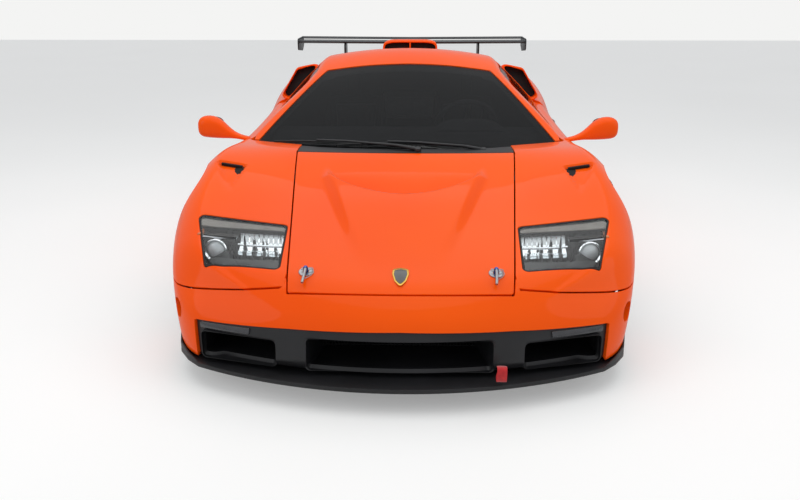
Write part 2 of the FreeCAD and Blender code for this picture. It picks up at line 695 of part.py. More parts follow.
def front_panels(rest, greenhouse_clear):
    """Front bumper, left fender, left headlamp cover and left headlamp body."""
    front_half = rest.common(block(-WIDE, WIDE, NOSE_Y - 50, DOOR_FRONT_Y - PANEL_GAP + 1, -100, OPEN_SKY_Z))
    duct_hole = front_prism(duct_outline(0), NOSE_Y - 100, -1850)
    splitter_room = block(-WIDE, WIDE, NOSE_Y - 100, -1540, -200, SPLITTER_TOP_Z + SEAT_GAP)
    bumper = front_half.common(nose_seam(0))
    bumper = bumper.cut([duct_hole, splitter_room, lamp_room(), mirror(lamp_room())])
    low = SKIRT_TOP_Z + SKIRT_GAP
    room = block(LID_REAR_HALF + 8, WIDE, NOSE_Y, DOOR_FRONT_Y - PANEL_GAP, low, OPEN_SKY_Z)
    room = room.fuse(block(LID_FRONT_HALF, WIDE, NOSE_Y, LID_REAR_Y - 20, low, OPEN_SKY_Z))
    pin_room = across(HINGE_PIN_RADIUS + PANEL_GAP, DOOR_HINGE_Y, DOOR_HINGE_Z, 770, 840)
    fender = front_half.cut([nose_seam(SKIRT_GAP), greenhouse_clear]).common(room)
    fender = fender.cut([headlamp_plan(0), pin_room])
    lamp_skin = lower_solid(0, 2).cut(lower_solid(0, 2 + GLASS_THICKNESS))
    cover = lamp_skin.common(headlamp_plan(SEAT_GAP))
    body = lower_solid(30, 45).common(headlamp_plan(SEAT_GAP))
    body = body.common(block(LAMP_BODY_X + SEAT_GAP, WIDE, NOSE_Y, 0, LAMP_BODY_Z, OPEN_SKY_Z))
    return bumper, fender, cover, body


def cabin_frame_shape(rest):
    """Cowl, windscreen pillars and roof, bevelled beside the window for the glass to pass."""
    half = ROOF_SPLIT_X - PANEL_GAP
    room = block(-half, half, LID_REAR_Y, ENGINE_LID_FRONT_Y - PANEL_GAP, 600, OPEN_SKY_Z)
    pillar_room = block(0, 900, LID_REAR_Y, PILLAR_END_Y, 500, OPEN_SKY_Z)
    frame = rest.common(room.fuse([pillar_room, mirror(pillar_room)]))
    cowl_half = LID_REAR_HALF + 4
    cowl = frame.common(block(-cowl_half, cowl_half, LID_REAR_Y, -600, 500, OPEN_SKY_Z))
    frame = frame.common(upper_solid(0)).fuse(cowl).removeSplitter()
    bevel = about_door_hinge(PILLAR_OUTER_LIMIT, WIDE)
    return frame.cut([bevel, mirror(bevel)])


def shoulder_pod():
    """The left shoulder intake, open at the front and let into the body behind."""
    mouth = block(0, WIDE, 0, POD_SECTIONS[0][0] + POD_MOUTH_DEPTH, 0, OPEN_SKY_Z)
    pod = quad_loft(POD_SECTIONS, 0).cut(quad_loft(POD_SECTIONS, POD_WALL).common(mouth))
    inside = [upper_solid(GREENHOUSE_WALL / 2), lower_solid(TOP_WALL / 2, TOP_WALL / 2)]
    return pod.cut([engine_lid_plan(PANEL_GAP)] + inside)


def rear_panels(rest):
    """Rear bumper and left quarter panel with its shoulder intake."""
    far = TAIL_Y + 50
    rear_half = rest.common(block(-WIDE, WIDE, 470, far, -100, OPEN_SKY_Z))
    roof_end = ENGINE_LID_FRONT_Y - PANEL_GAP + 0.5
    rear_half = rear_half.cut(block(-ROOF_SPLIT_X, ROOF_SPLIT_X, 0, roof_end, 500, OPEN_SKY_Z))

    def bumper_room(gap):
        half = ROOF_SPLIT_X + gap
        low = block(-WIDE, WIDE, BUMPER_SPLIT_Y - gap, far, -100, OPEN_SKY_Z)
        return low.fuse(block(-half, half, ENGINE_LID_REAR_Y, TAIL_Y, 700, OPEN_SKY_Z))

    holes = [
        block(-PANEL_HALF, PANEL_HALF, 1960, far, PANEL_LOW_Z, PANEL_HIGH_Z),
        block(-DIFFUSER_HALF, DIFFUSER_HALF, 1900, far, -100, DIFFUSER_TOP_Z),
    ]
    for x in (-PIPE_X, PIPE_X):
        holes.append(rod(PIPE_RADIUS + PANEL_GAP, Vector(x, 1700, PIPE_Z), Vector(x, 2400, PIPE_Z)))
    bumper = rear_half.common(bumper_room(0)).cut(holes)
    quarter_room = block(0, WIDE, 400, TAIL_Y, SKIRT_TOP_Z + SKIRT_GAP, OPEN_SKY_Z)
    quarter = rear_half.common(quarter_room).cut(bumper_room(SKIRT_GAP))
    return bumper, quarter.fuse(shoulder_pod()).removeSplitter()


def tail_fittings():
    """Rear panel, round lamps, diffuser and exhaust."""
    half = PANEL_HALF - SEAT_GAP
    panel = tail_envelope(30).cut(tail_envelope(42))
    low = PANEL_LOW_Z + SEAT_GAP
    panel = panel.common(block(-half, half, 1960, TAIL_Y + 50, low, PANEL_HIGH_Z - SEAT_GAP))
    holes = []
    lamps = []
    for x in LAMP_PLACES + tuple(-x for x in LAMP_PLACES):
        start = Vector(x, 2000, LAMP_Z)
        end = Vector(x, 2300, LAMP_Z)
        holes.append(rod(LAMP_RADIUS + SEAT_GAP, start, end))
        lamps.append(rod(LAMP_RADIUS, start, end).common(tail_envelope(18)).cut(tail_envelope(75)))
    ramp_outline = [(1880, 150), (2195, DIFFUSER_TOP_Z - 12), (2195, DIFFUSER_TOP_Z - 1), (1880, 162)]
    fin_outline = [(1880, 140), (2195, 170), (2195, DIFFUSER_TOP_Z - 6), (1880, 156)]
    ramp = side_prism(ramp_outline, -DIFFUSER_HALF + SEAT_GAP, DIFFUSER_HALF - SEAT_GAP)
    fins = [side_prism(fin_outline, x - 3, x + 3) for x in range(-500, 501, 200)]
    ahead = block(-WIDE, WIDE, 1800, BUMPER_FRAME_Y + SEAT_GAP, 0, 1000)
    diffuser = union([ramp] + fins).common(tail_envelope(8)).cut(ahead)
    muffler = block(-360, 360, BUMPER_FRAME_Y + SEAT_GAP, 2110, PIPE_Z - 75, PIPE_Z + 75)
    pipe = rod(PIPE_RADIUS, Vector(PIPE_X, 2100, PIPE_Z), Vector(PIPE_X, 2205, PIPE_Z))
    pipes = [pipe, mirror(pipe)]
    bore = rod(PIPE_RADIUS - 4, Vector(PIPE_X, 2125, PIPE_Z), Vector(PIPE_X, 2300, PIPE_Z))
    bores = [bore, mirror(bore)]
    exhaust = union([muffler] + pipes).cut(bores)
    return panel.cut(holes), Part.makeCompound(lamps), diffuser, exhaust


def nose_fittings():
    """Duct insert, splitter and tow strap."""
    duct = nose_envelope(12).cut(nose_envelope(40))
    duct = duct.common(front_prism(duct_outline(SEAT_GAP), NOSE_Y - 100, -1850))
    side_mouth = block(462, 742, NOSE_Y - 100, -1700, 125, 240)
    duct = duct.cut([block(-335, 335, NOSE_Y - 100, -1800, 125, 248), side_mouth, mirror(side_mouth)])
    centre = Vector(0, NOSE_Y + SPLITTER_PLAN_RADIUS, SPLITTER_BOTTOM_Z)
    disc = Part.makeCylinder(SPLITTER_PLAN_RADIUS, SPLITTER_TOP_Z - SPLITTER_BOTTOM_Z, centre)
    left_half = [(SPLITTER_REAR_HALF, -1560), (880, -1850), (845, -1930), (800, NOSE_Y - 10)]
    right_half = [(-x, y) for x, y in left_half[::-1]]
    splitter = disc.common(plan_prism(left_half + right_half, 0, 300))
    strap = nose_envelope(4).cut(nose_envelope(12 - SEAT_GAP))
    strap = strap.common(block(340, 378, NOSE_Y - 100, -1800, 106, 190))
    return duct, splitter, strap


def steering_shapes():
    """The column that the dashboard carries, and the steering wheel on its round end."""
    tilt = math.radians(STEERING_TILT)
    axis = Vector(0, math.cos(tilt), math.sin(tilt))
    centre = Vector(STEERING_X, STEERING_Y, STEERING_Z)
    column = rod(16, centre - axis * 200, centre - axis * 20)
    column = column.fuse(rod(COLUMN_END_RADIUS, centre - axis * 30, centre + axis * 6))
    ring = Part.makeTorus(178, 14, centre, axis)
    hub = rod(42, centre - axis * 18, centre + axis * 14)
    spokes = []
    for angle in (0, 180, 270):
        spoke = block(0, 172, -16, 16, -6, 6)
        spoke.rotate(Vector(0, 0, 0), Vector(0, 0, 1), angle)
        turn = FreeCAD.Placement(centre, Rotation(Vector(0, 0, 1), axis))
        spoke.Placement = turn.multiply(spoke.Placement)
        spokes.append(spoke)
    bore = rod(COLUMN_END_RADIUS + PIN_FIT, centre - axis * 30, centre + axis * 8)
    return column, union([ring, hub] + spokes).cut(bore)


def dashboard_shape(core, column):
    outline = [(-779, 600), (-779, 690), (-600, 730), (-450, 745), (-400, 700), (-420, 560), (-560, 470),
               (-779, 440)]
    room = core.cut(block(-WIDE, WIDE, -900, CABIN_FRONT_Y + SEAT_GAP, 0, OPEN_SKY_Z))
    return side_prism(outline, -765, 765).common(room).fuse(column).removeSplitter()


def wiper_shapes(skin_clear):
    skin = upper_solid(-12).cut(skin_clear)
    left = [(-60, -985), (-70, -960), (330, -905), (330, -922)]
    right = [(-330, -975), (-345, -950), (-20, -925), (-20, -942)]
    return Part.makeCompound([skin.common(plan_prism(plan, 600, 900)) for plan in (left, right)])


def engine_shape():
    block_low = block(-270, 270, 760, 1250, FLOOR_TOP_Z + SEAT_GAP, 640)
    gearbox = block(-170, 170, 1250, 1700, 190, 480)
    plenum = block(-200, 200, 780, 1230, 640, 760)
    return union([block_low, gearbox, plenum])


def main():
    os.makedirs("parts", exist_ok=True)
    shell, core = build_shell()
    shell = shell.cut(wheel_wells())
    greenhouse_clear = upper_solid(-SEAT_GAP)
    skin_clear = lower_solid(-SEAT_GAP, -SEAT_GAP).fuse(greenhouse_clear)
    upper_glass = upper_solid(GLASS_INSET).cut(upper_solid(GLASS_INSET + GLASS_THICKNESS))

    # Openings are cut in turn, and each panel is what its opening takes out
    front_lid = shell.common(lid_plan(0))
    rest = shell.cut(lid_plan(PANEL_GAP))
    engine_lid = rest.common(engine_lid_plan(0))
    rest = rest.cut(engine_lid_plan(PANEL_GAP))
    door = rest.common(door_region(0)).cut(about_door_hinge(DOOR_INNER_LIMIT, 500))
    rest = rest.cut([door_region(PANEL_GAP), mirror(door_region(PANEL_GAP))])
    door_glass = upper_glass.common(window_region(0))
    rest = rest.cut([window_region(PANEL_GAP), mirror(window_region(PANEL_GAP))])
    windscreen = upper_glass.common(windscreen_region(SEAT_GAP))
    rest = rest.cut(windscreen_region(0))

    front_bumper, fender, lamp_cover, lamp_body = front_panels(rest, greenhouse_clear)
    rear_bumper, quarter = rear_panels(rest)
    skirt = rest.common(block(0, WIDE, DOOR_FRONT_Y - 215, REAR_AXLE_Y - 300, -100, SKIRT_TOP_Z))
    pin_low = DOOR_INNER_LIMIT[0][1] - HINGE_PIN_REACH
    pin_high = DOOR_INNER_LIMIT[0][1] + HINGE_PIN_REACH
    door = door.fuse(across(HINGE_PIN_RADIUS, DOOR_HINGE_Y, DOOR_HINGE_Z, pin_low, pin_high)).removeSplitter()
    pin_bore = across(HINGE_PIN_RADIUS + PIN_FIT, DOOR_HINGE_Y, DOOR_HINGE_Z, pin_low - 1, pin_high)
    # The door's top corner turns through a round relief in the pillar's foot, outside the pin's seat
    relief_start = DOOR_INNER_LIMIT[0][1] - PANEL_GAP
    relief = across(HINGE_RELIEF_RADIUS, DOOR_HINGE_Y, DOOR_HINGE_Z, relief_start, pin_high + PANEL_GAP)
    hinge_room = pin_bore.fuse(relief)
    cabin_frame = cabin_frame_shape(rest).cut([hinge_room, mirror(hinge_room)])
    column, steering_wheel = steering_shapes()
    duct, splitter, strap = nose_fittings()
    rear_panel, tail_lamps, diffuser, exhaust = tail_fittings()
    front_wheel = wheel(FRONT_TRACK, FRONT_AXLE_Y, FRONT_TYRE_RADIUS, FRONT_TYRE_WIDTH)
    rear_wheel = wheel(REAR_TRACK, REAR_AXLE_Y, REAR_TYRE_RADIUS, REAR_TYRE_WIDTH)
    wishbones = [wishbone(FRONT_TYRE_RADIUS, side) for side in (1, -1)]

    handed = {
        "door": door, "door_glass": door_glass, "mirror": mirror_shape(skin_clear), "fender": fender,
        "quarter": quarter, "seat": seat_shape(), "knuckle": knuckle(),
        "rim_front": front_wheel[0], "tyre_front": front_wheel[1],
        "rim_rear": rear_wheel[0], "tyre_rear": rear_wheel[1],
    }
    for name, shape in handed.items():
        save(name + "_left", shape)
        save(name + "_right", mirror(shape))
    single = {
        "tub": tub_shape(core), "frame_panels": frame_panels(core), "front_lid": front_lid,
        "engine_lid": engine_lid, "windscreen": windscreen, "cabin_frame": cabin_frame,
        "front_bumper": front_bumper, "front_duct": duct, "front_splitter": splitter, "tow_strap": strap,
        "headlamp_covers": both(lamp_cover), "headlamps": both(lamp_body), "rear_bumper": rear_bumper,
        "rear_panel": rear_panel, "tail_lamps": tail_lamps, "diffuser": diffuser, "exhaust": exhaust,
        "rear_wing": wing_shape().cut(skin_clear), "roof_scoop": scoop_shape(skin_clear),
        "side_skirts": both(skirt), "dashboard": dashboard_shape(core, column),
        "steering_wheel": steering_wheel, "wipers": wiper_shapes(skin_clear), "engine": engine_shape(),
        "front_suspension": both(Part.makeCompound(wishbones)), "rear_suspension": both(rear_corner()),
    }
    for name, shape in single.items():
        save(name, shape)


main()
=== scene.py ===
# %% [markdown]
# A low mid-engined supercar with wedge-shaped body, dressed for a photograph.
# The CAD frame brings every joint and every hard part at its true size and place. The painted panels are
# made again here from the same section tables, because a glossy body shows every flat facet of a CAD mesh,
# and a smooth skin with computed normals reflects like pressed and lacquered metal.

import json
import math

import bmesh
import bpy
import numpy as np
from mathutils import Matrix, Vector

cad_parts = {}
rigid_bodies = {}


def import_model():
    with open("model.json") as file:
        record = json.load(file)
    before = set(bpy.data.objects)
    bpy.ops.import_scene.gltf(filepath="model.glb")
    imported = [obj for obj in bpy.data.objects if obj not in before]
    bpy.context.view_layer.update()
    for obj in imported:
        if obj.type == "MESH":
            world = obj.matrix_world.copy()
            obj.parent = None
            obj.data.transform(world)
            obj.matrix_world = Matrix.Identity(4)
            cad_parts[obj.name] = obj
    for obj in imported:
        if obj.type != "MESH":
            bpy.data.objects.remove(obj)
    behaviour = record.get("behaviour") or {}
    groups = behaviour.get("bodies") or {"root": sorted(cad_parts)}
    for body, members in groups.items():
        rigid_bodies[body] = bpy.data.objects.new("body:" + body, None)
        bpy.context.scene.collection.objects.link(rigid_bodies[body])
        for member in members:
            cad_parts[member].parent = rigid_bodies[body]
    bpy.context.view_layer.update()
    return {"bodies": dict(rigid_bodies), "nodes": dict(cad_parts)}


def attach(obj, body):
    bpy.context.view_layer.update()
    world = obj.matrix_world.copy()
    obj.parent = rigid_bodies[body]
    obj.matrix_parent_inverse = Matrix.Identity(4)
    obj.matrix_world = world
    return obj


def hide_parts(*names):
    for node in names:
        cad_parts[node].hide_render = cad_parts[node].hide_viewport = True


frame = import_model()
SIDED_BODIES = {body[:-5] for body in frame["bodies"] if body.endswith("_left")}


def new_object(name, data):
    """An object of this data in the scene."""
    made = bpy.data.objects.new(name, data)
    bpy.context.scene.collection.objects.link(made)
    return made


def with_modifier(piece, kind, **settings):
    modifier = piece.modifiers.new(kind.lower(), kind)
    for name, value in settings.items():
        setattr(modifier, name, value)
    return modifier


def settle(piece):
    """Apply the modifiers of a piece to its mesh."""
    piece.data = bpy.data.meshes.new_from_object(piece.evaluated_get(bpy.context.evaluated_depsgraph_get()))
    piece.modifiers.clear()


# %% [markdown]
# The camera stands in front of the car, a little above its roof, and looks down on the nose. Its place and
# lens follow from known sizes seen in the picture: the width over the wings, the lid and the screen.

# %% Camera
CAMERA_PLACE = (0.06, -4.44, 1.36)
FOCAL_PIXELS = 720
CAMERA_DOWN = math.atan(241 / FOCAL_PIXELS)
CAMERA_LEFT = math.atan(18 / FOCAL_PIXELS)
IMAGE_WIDTH = 800
SENSOR_MM = 36.0

camera_data = bpy.data.cameras.new("camera")
camera_data.sensor_width = SENSOR_MM
camera_data.lens = FOCAL_PIXELS / IMAGE_WIDTH * SENSOR_MM
camera = new_object("camera", camera_data)
camera.location = CAMERA_PLACE
camera.rotation_euler = (math.pi / 2 - CAMERA_DOWN, 0, CAMERA_LEFT)
bpy.context.scene.camera = camera
bpy.context.scene.view_settings.view_transform = "Standard"
print("lens", round(camera_data.lens, 1), "mm")


# %% [markdown]
# Every finish is a shader with a pattern at its real scale: a slow drift of tone in paint, a twill in carbon,
# grain in moulded plastic. Colours are written as sRGB hex and turned to linear values by one function, and
# one more function adds a node with its settings and links, which keeps each material short to read.

# %% Shader helpers
def srgb(code):
    """A colour written as six hex digits, as linear values."""
    channels = [int(code[i:i + 2], 16) / 255 for i in (0, 2, 4)]
    return [c / 12.92 if c <= 0.04045 else ((c + 0.055) / 1.055) ** 2.4 for c in channels] + [1.0]


def add_node(tree, kind, values=(), links=(), **settings):
    """Add a node, set its fields, its input values by name and its links from other sockets."""
    node = tree.nodes.new(kind)
    for name, value in settings.items():
        setattr(node, name, value)
    for name, value in values:
        node.inputs[name].default_value = value
    for name, socket in links:
        tree.links.new(socket, node.inputs[name])
    return node


def finish(name, colour, roughness, **shader_values):
    """A new material and its tree, principled shader and Object coordinates."""
    made = bpy.data.materials.new(name)
    made.use_nodes = True
    tree = made.node_tree
    shader = tree.nodes["Principled BSDF"]
    shader.inputs["Base Color"].default_value = srgb(colour)
    shader.inputs["Roughness"].default_value = roughness
    for key, value in shader_values.items():
        shader.inputs[key.replace("_", " ").title().replace("Ior", "IOR")].default_value = value
    place = add_node(tree, "ShaderNodeTexCoord").outputs["Object"]
    return made, tree, shader, place


def mottled(tree, place, scale_mm, first, second):
    """Two colours mixed by soft noise whose blotches are scale_mm across."""
    noise = add_node(tree, "ShaderNodeTexNoise", [("Scale", 1000 / scale_mm), ("Detail", 3.0)],
                     [("Vector", place)])
    ramp = add_node(tree, "ShaderNodeValToRGB", links=[("Fac", noise.outputs["Fac"])])
    ramp.color_ramp.elements[0].position = 0.35
    ramp.color_ramp.elements[0].color = srgb(first)
    ramp.color_ramp.elements[1].position = 0.65
    ramp.color_ramp.elements[1].color = srgb(second)
    return ramp.outputs["Color"]


def bumped(tree, shader, height, strength, depth):
    """Link a height to the shader's normal through a bump of this depth in metres."""
    bump = add_node(tree, "ShaderNodeBump", [("Strength", strength), ("Distance", depth)],
                    [("Height", height)])
    tree.links.new(bump.outputs["Normal"], shader.inputs["Normal"])


def grained(tree, shader, place, scale_mm, depth_mm, strength):
    """A fine noise bump whose grain is scale_mm across."""
    noise = add_node(tree, "ShaderNodeTexNoise", [("Scale", 1000 / scale_mm), ("Detail", 2.0)],
                     [("Vector", place)])
    bumped(tree, shader, noise.outputs["Fac"], strength, depth_mm / 1000)


def colour_by(tree, shader, colour):
    tree.links.new(colour, shader.inputs["Base Color"])


print("the paint's orange in linear values", [round(c, 3) for c in srgb("FF5600")])

# %% [markdown]
# The body colour is a solid orange basecoat under a clear lacquer. The lacquer gives the sharp reflections
# and the coloured coat the soft, deep shade; a very slight drift of tone keeps large panels alive.

# %% Paint, plastics and metals
def orange_paint():
    made, tree, shader, place = finish("orange_basecoat_under_clear_lacquer", "FF5600", 0.42, coat_weight=0.5,
                                       coat_roughness=0.02, coat_ior=1.3, specular_ior_level=0.05)
    colour_by(tree, shader, mottled(tree, place, 900, "FB5300", "FF5B02"))
    return made


def carbon_fibre():
    """A 2x2 twill: 4 mm tows, drawn 8 mm so that it shows; alternate tows catch the light."""
    made, tree, shader, place = finish("lacquered_carbon_fibre_twill", "1A1B1D", 0.45, coat_weight=0.25,
                                       coat_roughness=0.05, specular_ior_level=0.25)
    turn = add_node(tree, "ShaderNodeMapping", [("Rotation", (0.4, 0.3, math.radians(45)))],
                    [("Vector", place)])
    checker = add_node(tree, "ShaderNodeTexChecker", [("Scale", 1000 / 8), ("Color1", srgb("101113")),
                                                      ("Color2", srgb("26282B"))],
                       [("Vector", turn.outputs["Vector"])])
    colour_by(tree, shader, checker.outputs["Color"])
    return made


def brushed_steel():
    """Fine grain drawn out twelve times along one direction, as a belt leaves it, with an uneven gloss."""
    roughness = 0.3
    made, tree, shader, place = finish("brushed_stainless_steel", "A7A9AC", roughness, metallic=1.0)
    stretch = add_node(tree, "ShaderNodeMapping", [("Scale", (1, 12, 12))], [("Vector", place)])
    grained(tree, shader, stretch.outputs["Vector"], 1.0, 0.05, 0.25)
    noise = add_node(tree, "ShaderNodeTexNoise", [("Scale", 60.0)], [("Vector", place)])
    spread = add_node(tree, "ShaderNodeMapRange", [("To Min", roughness * 0.8), ("To Max", roughness * 1.25)],
                      [("Value", noise.outputs["Fac"])])
    tree.links.new(spread.outputs["Result"], shader.inputs["Roughness"])
    return made


def clear_polycarbonate():
    made, tree, shader, place = finish("moulded_clear_polycarbonate", "F4F7F8", 0.0,
                                       transmission_weight=1.0, ior=1.25)
    noise = add_node(tree, "ShaderNodeTexNoise", [("Scale", 3.0)], [("Vector", place)])
    bumped(tree, shader, noise.outputs["Fac"], 0.02, 0.0005)
    return made


def tinted_glass():
    """Car glass is thin, so a mix of see-through and mirror shows the cabin without bending it."""
    made, tree, shader, place = finish("tinted_laminated_glass", "050607", 0.02, ior=1.3)
    noise = add_node(tree, "ShaderNodeTexNoise", [("Scale", 2.0)], [("Vector", place)])
    tint = add_node(tree, "ShaderNodeMapRange", [("To Min", 0.50), ("To Max", 0.56)],
                    [("Value", noise.outputs["Fac"])])
    tree.links.new(tint.outputs["Result"], shader.inputs["Alpha"])
    made.blend_method = "BLEND"
    return made


def woven_cloth():
    """Seat cloth: threads 1.2 mm apart, drawn at 3 mm so that the weave shows."""
    made, tree, shader, place = finish("woven_black_seat_cloth", "202226", 0.95, sheen_weight=0.4)
    weave = add_node(tree, "ShaderNodeTexChecker", [("Scale", 1000 / 3), ("Color1", srgb("1A1C20")),
                                                    ("Color2", srgb("292C31"))], [("Vector", place)])
    colour_by(tree, shader, weave.outputs["Color"])
    bumped(tree, shader, weave.outputs["Fac"], 0.4, 0.0006)
    return made


def plain_finish(name, first, second, roughness, blotch_mm, grain_mm, grain_depth_mm=0.1, strength=0.3,
                 **values):
    """Two close tones in blotches, under a fine grain."""
    made, tree, shader, place = finish(name, first, roughness, **values)
    colour_by(tree, shader, mottled(tree, place, blotch_mm, first, second))
    grained(tree, shader, place, grain_mm, grain_depth_mm, strength)
    return made


PAINT = orange_paint()
BLACK = plain_finish("moulded_satin_black_polyurethane", "141416", "1D1D20", 0.42, 180, 2, 0.15, 0.5)
LINER = plain_finish("pressed_fibre_liner", "0C0C0D", "161617", 0.9, 25, 4, 0.6, 0.5)
CARBON = carbon_fibre()
GLASS = tinted_glass()
LENS = clear_polycarbonate()
RED_LENS = plain_finish("moulded_red_acrylic_lens", "8A0A0A", "A01010", 0.12, 60, 3, coat_weight=1.0)
AMBER_LENS = plain_finish("moulded_amber_acrylic_lens", "C8621A", "D8741F", 0.15, 60, 3, coat_weight=1.0)
WHITE_LENS = plain_finish("prismatic_white_lens", "C9CED2", "D8DDE0", 0.2, 30, 3, coat_weight=1.0)
GOLD = plain_finish("gilt_metal_rim", "C9A24A", "D4AE58", 0.2, 40, 2, metallic=1.0)
CHROME = plain_finish("vacuum_metallised_reflector", "D5D8DB", "DCDFE1", 0.12, 80, 4, metallic=1.0)
ALLOY = plain_finish("painted_cast_aluminium", "9A9DA1", "A5A8AC", 0.32, 50, 1.5, metallic=0.85,
                     coat_weight=0.4)
STEEL = brushed_steel()
IRON = plain_finish("sand_cast_iron", "4C4C4E", "5A5A5B", 0.6, 20, 3, metallic=0.8)
GREY_CAST = plain_finish("sand_cast_aluminium", "8A8C8E", "95979A", 0.5, 25, 2, metallic=0.9)
RUBBER = plain_finish("vulcanised_tyre_rubber", "161617", "222223", 0.78, 40, 1.5, 0.2, 0.5)
SEAL = plain_finish("extruded_black_rubber_seal", "0E0E0F", "151516", 0.6, 40, 2)
CLOTH = woven_cloth()
DASH = plain_finish("grained_grey_dash_vinyl", "34363A", "3E4045", 0.7, 60, 2.5)
STRAP = plain_finish("woven_red_nylon_webbing", "B5121A", "C81C20", 0.75, 12, 1.5, sheen_weight=0.3)
BLUE_PIN = plain_finish("anodised_blue_aluminium", "2A4C8C", "3358A0", 0.3, 15, 1.5, metallic=0.9)
BARE_BADGE = plain_finish("enamelled_black_disc", "0D0D0E", "141415", 0.25, 20, 3, coat_weight=1.0)
print("materials", len(bpy.data.materials))


# %% [markdown]
# The studio is a pale floor under a large soft light, with a dimmer one at each side. The world turns white
# and the floor glows a little only where the camera sees them, directly or through glass. So the background
# is pale, and the paint isn't overlit.

# %% Floor, world and lamps
def white_when_seen(tree, dim_shader, output_socket):
    """Show plain white to camera rays and those through glass, and the dim shader to all others."""
    path = add_node(tree, "ShaderNodeLightPath")
    either = add_node(tree, "ShaderNodeMath", links=[(0, path.outputs["Is Camera Ray"]),
                                                     (1, path.outputs["Is Transmission Ray"])],
                      operation="MAXIMUM")
    bright = add_node(tree, "ShaderNodeBackground", [("Color", srgb("F4F4F3")), ("Strength", 1.0)])
    mix = add_node(tree, "ShaderNodeMixShader", links=[(0, either.outputs[0]), (1, dim_shader),
                                                       (2, bright.outputs[0])])
    tree.links.new(mix.outputs[0], output_socket)


world = bpy.data.worlds.new("studio")
bpy.context.scene.world = world
world.use_nodes = True
world_tree = world.node_tree
dim = world_tree.nodes["Background"]
dim.inputs["Color"].default_value = srgb("E8EAED")
dim.inputs["Strength"].default_value = 0.7
white_when_seen(world_tree, dim.outputs[0], world_tree.nodes["World Output"].inputs["Surface"])


def soft_light(name, place, aim, width, depth, power):
    data = bpy.data.lights.new(name, "AREA")
    data.shape = "ELLIPSE"
    data.size = width
    data.size_y = depth
    data.energy = power
    light = new_object(name, data)
    light.location = place
    light.rotation_euler = (Vector(aim) - Vector(place)).to_track_quat("-Z", "Y").to_euler()


soft_light("soft_roof", (0, -0.8, 4.2), (0, -0.8, 0), 6.5, 6.0, 90)
soft_light("soft_left", (-4.5, -4.0, 3.0), (0, -1, 0.4), 3.5, 3.5, 42)
soft_light("soft_right", (4.5, -3.0, 3.0), (0, -1, 0.4), 3.5, 3.5, 32)

FLOOR_HALF = 30.0
floor_mesh = bpy.data.meshes.new("floor")
floor_mesh.from_pydata([(-FLOOR_HALF, -FLOOR_HALF, 0), (FLOOR_HALF, -FLOOR_HALF, 0),
                        (FLOOR_HALF, FLOOR_HALF, 0), (-FLOOR_HALF, FLOOR_HALF, 0)], [], [(0, 1, 2, 3)])
floor = new_object("floor", floor_mesh)
pale_floor = plain_finish("pale_studio_floor", "DCDCDA", "DFDFDD", 0.65, 2000, 30)
floor_tree = pale_floor.node_tree
floor_shader = floor_tree.nodes["Principled BSDF"]
seen = add_node(floor_tree, "ShaderNodeLightPath")
glow = add_node(floor_tree, "ShaderNodeMath", [(1, 0.28)], [(0, seen.outputs["Is Camera Ray"])],
                operation="MULTIPLY")
floor_tree.links.new(glow.outputs[0], floor_shader.inputs["Emission Strength"])
floor_shader.inputs["Emission Color"].default_value = srgb("FFFFFF")
floor_mesh.materials.append(pale_floor)
print("lights", len(bpy.data.lights))


# %% [markdown]
# The body is drawn by a few cross sections, as a stylist's tape drawing is. Smooth curves through the same
# columns that the CAD source uses give a section at any station, and each section becomes a table of radii
# about a line inside the car. From it follows a distance function, which is negative inside the body.

# %% Section tables in millimetres
# Columns: y, bottom z, bottom half width, side half width and z, shoulder half width and z, lid half width
# and z, crown z
HULL_ROWS = [
    (-2260, 100, 640, 650, 240, 570, 330, 400, 338, 340),
    (-2050, 100, 770, 790, 270, 690, 392, 405, 400, 402),
    (-1850, 105, 870, 885, 330, 775, 470, 425, 462, 460),
    (-1600, 110, 935, 958, 420, 838, 565, 455, 536, 530),
    (-1400, 115, 960, 985, 470, 848, 650, 475, 598, 590),
    (-1185, 120, 965, 987, 490, 852, 715, 500, 662, 650),
    (-1000, 125, 960, 980, 490, 855, 728, 520, 706, 700),
    (-750, 130, 940, 962, 490, 855, 712, 540, 706, 706),
    (-300, 135, 925, 947, 490, 862, 712, 560, 706, 706),
    (200, 140, 930, 952, 500, 872, 738, 560, 730, 730),
    (600, 145, 950, 974, 520, 885, 768, 560, 760, 760),
    (1000, 150, 980, 1008, 540, 905, 822, 560, 815, 815),
    (1465, 160, 995, 1020, 550, 915, 860, 560, 855, 855),
    (1850, 170, 980, 1008, 560, 900, 850, 560, 850, 850),
    (2260, 190, 930, 955, 560, 850, 815, 560, 820, 820),
]
# Columns: y, belt half width and z, rail half width and z, crown z
CABIN_ROWS = [
    (-1100, 925, 430, 915, 500, 655), (-750, 850, 600, 845, 672, 776), (-350, 850, 688, 672, 862, 915),
    (0, 855, 700, 545, 1000, 1036), (300, 860, 715, 525, 1066, 1113), (650, 868, 745, 532, 1052, 1100),
    (1100, 880, 780, 600, 990, 1040), (1600, 880, 800, 680, 920, 965), (2260, 820, 760, 735, 835, 875),
]
SPINE_Y = (-2.30, -2.05, -1.85, -1.185, -0.5, 2.30)
SPINE_Z = (0.21, 0.23, 0.27, 0.36, 0.44, 0.50)
STATION_STEP = 0.005
STATIONS = np.arange(-2.30, 2.3001, STATION_STEP)
ANGLES = np.radians(np.arange(-90, 90.01, 0.125))


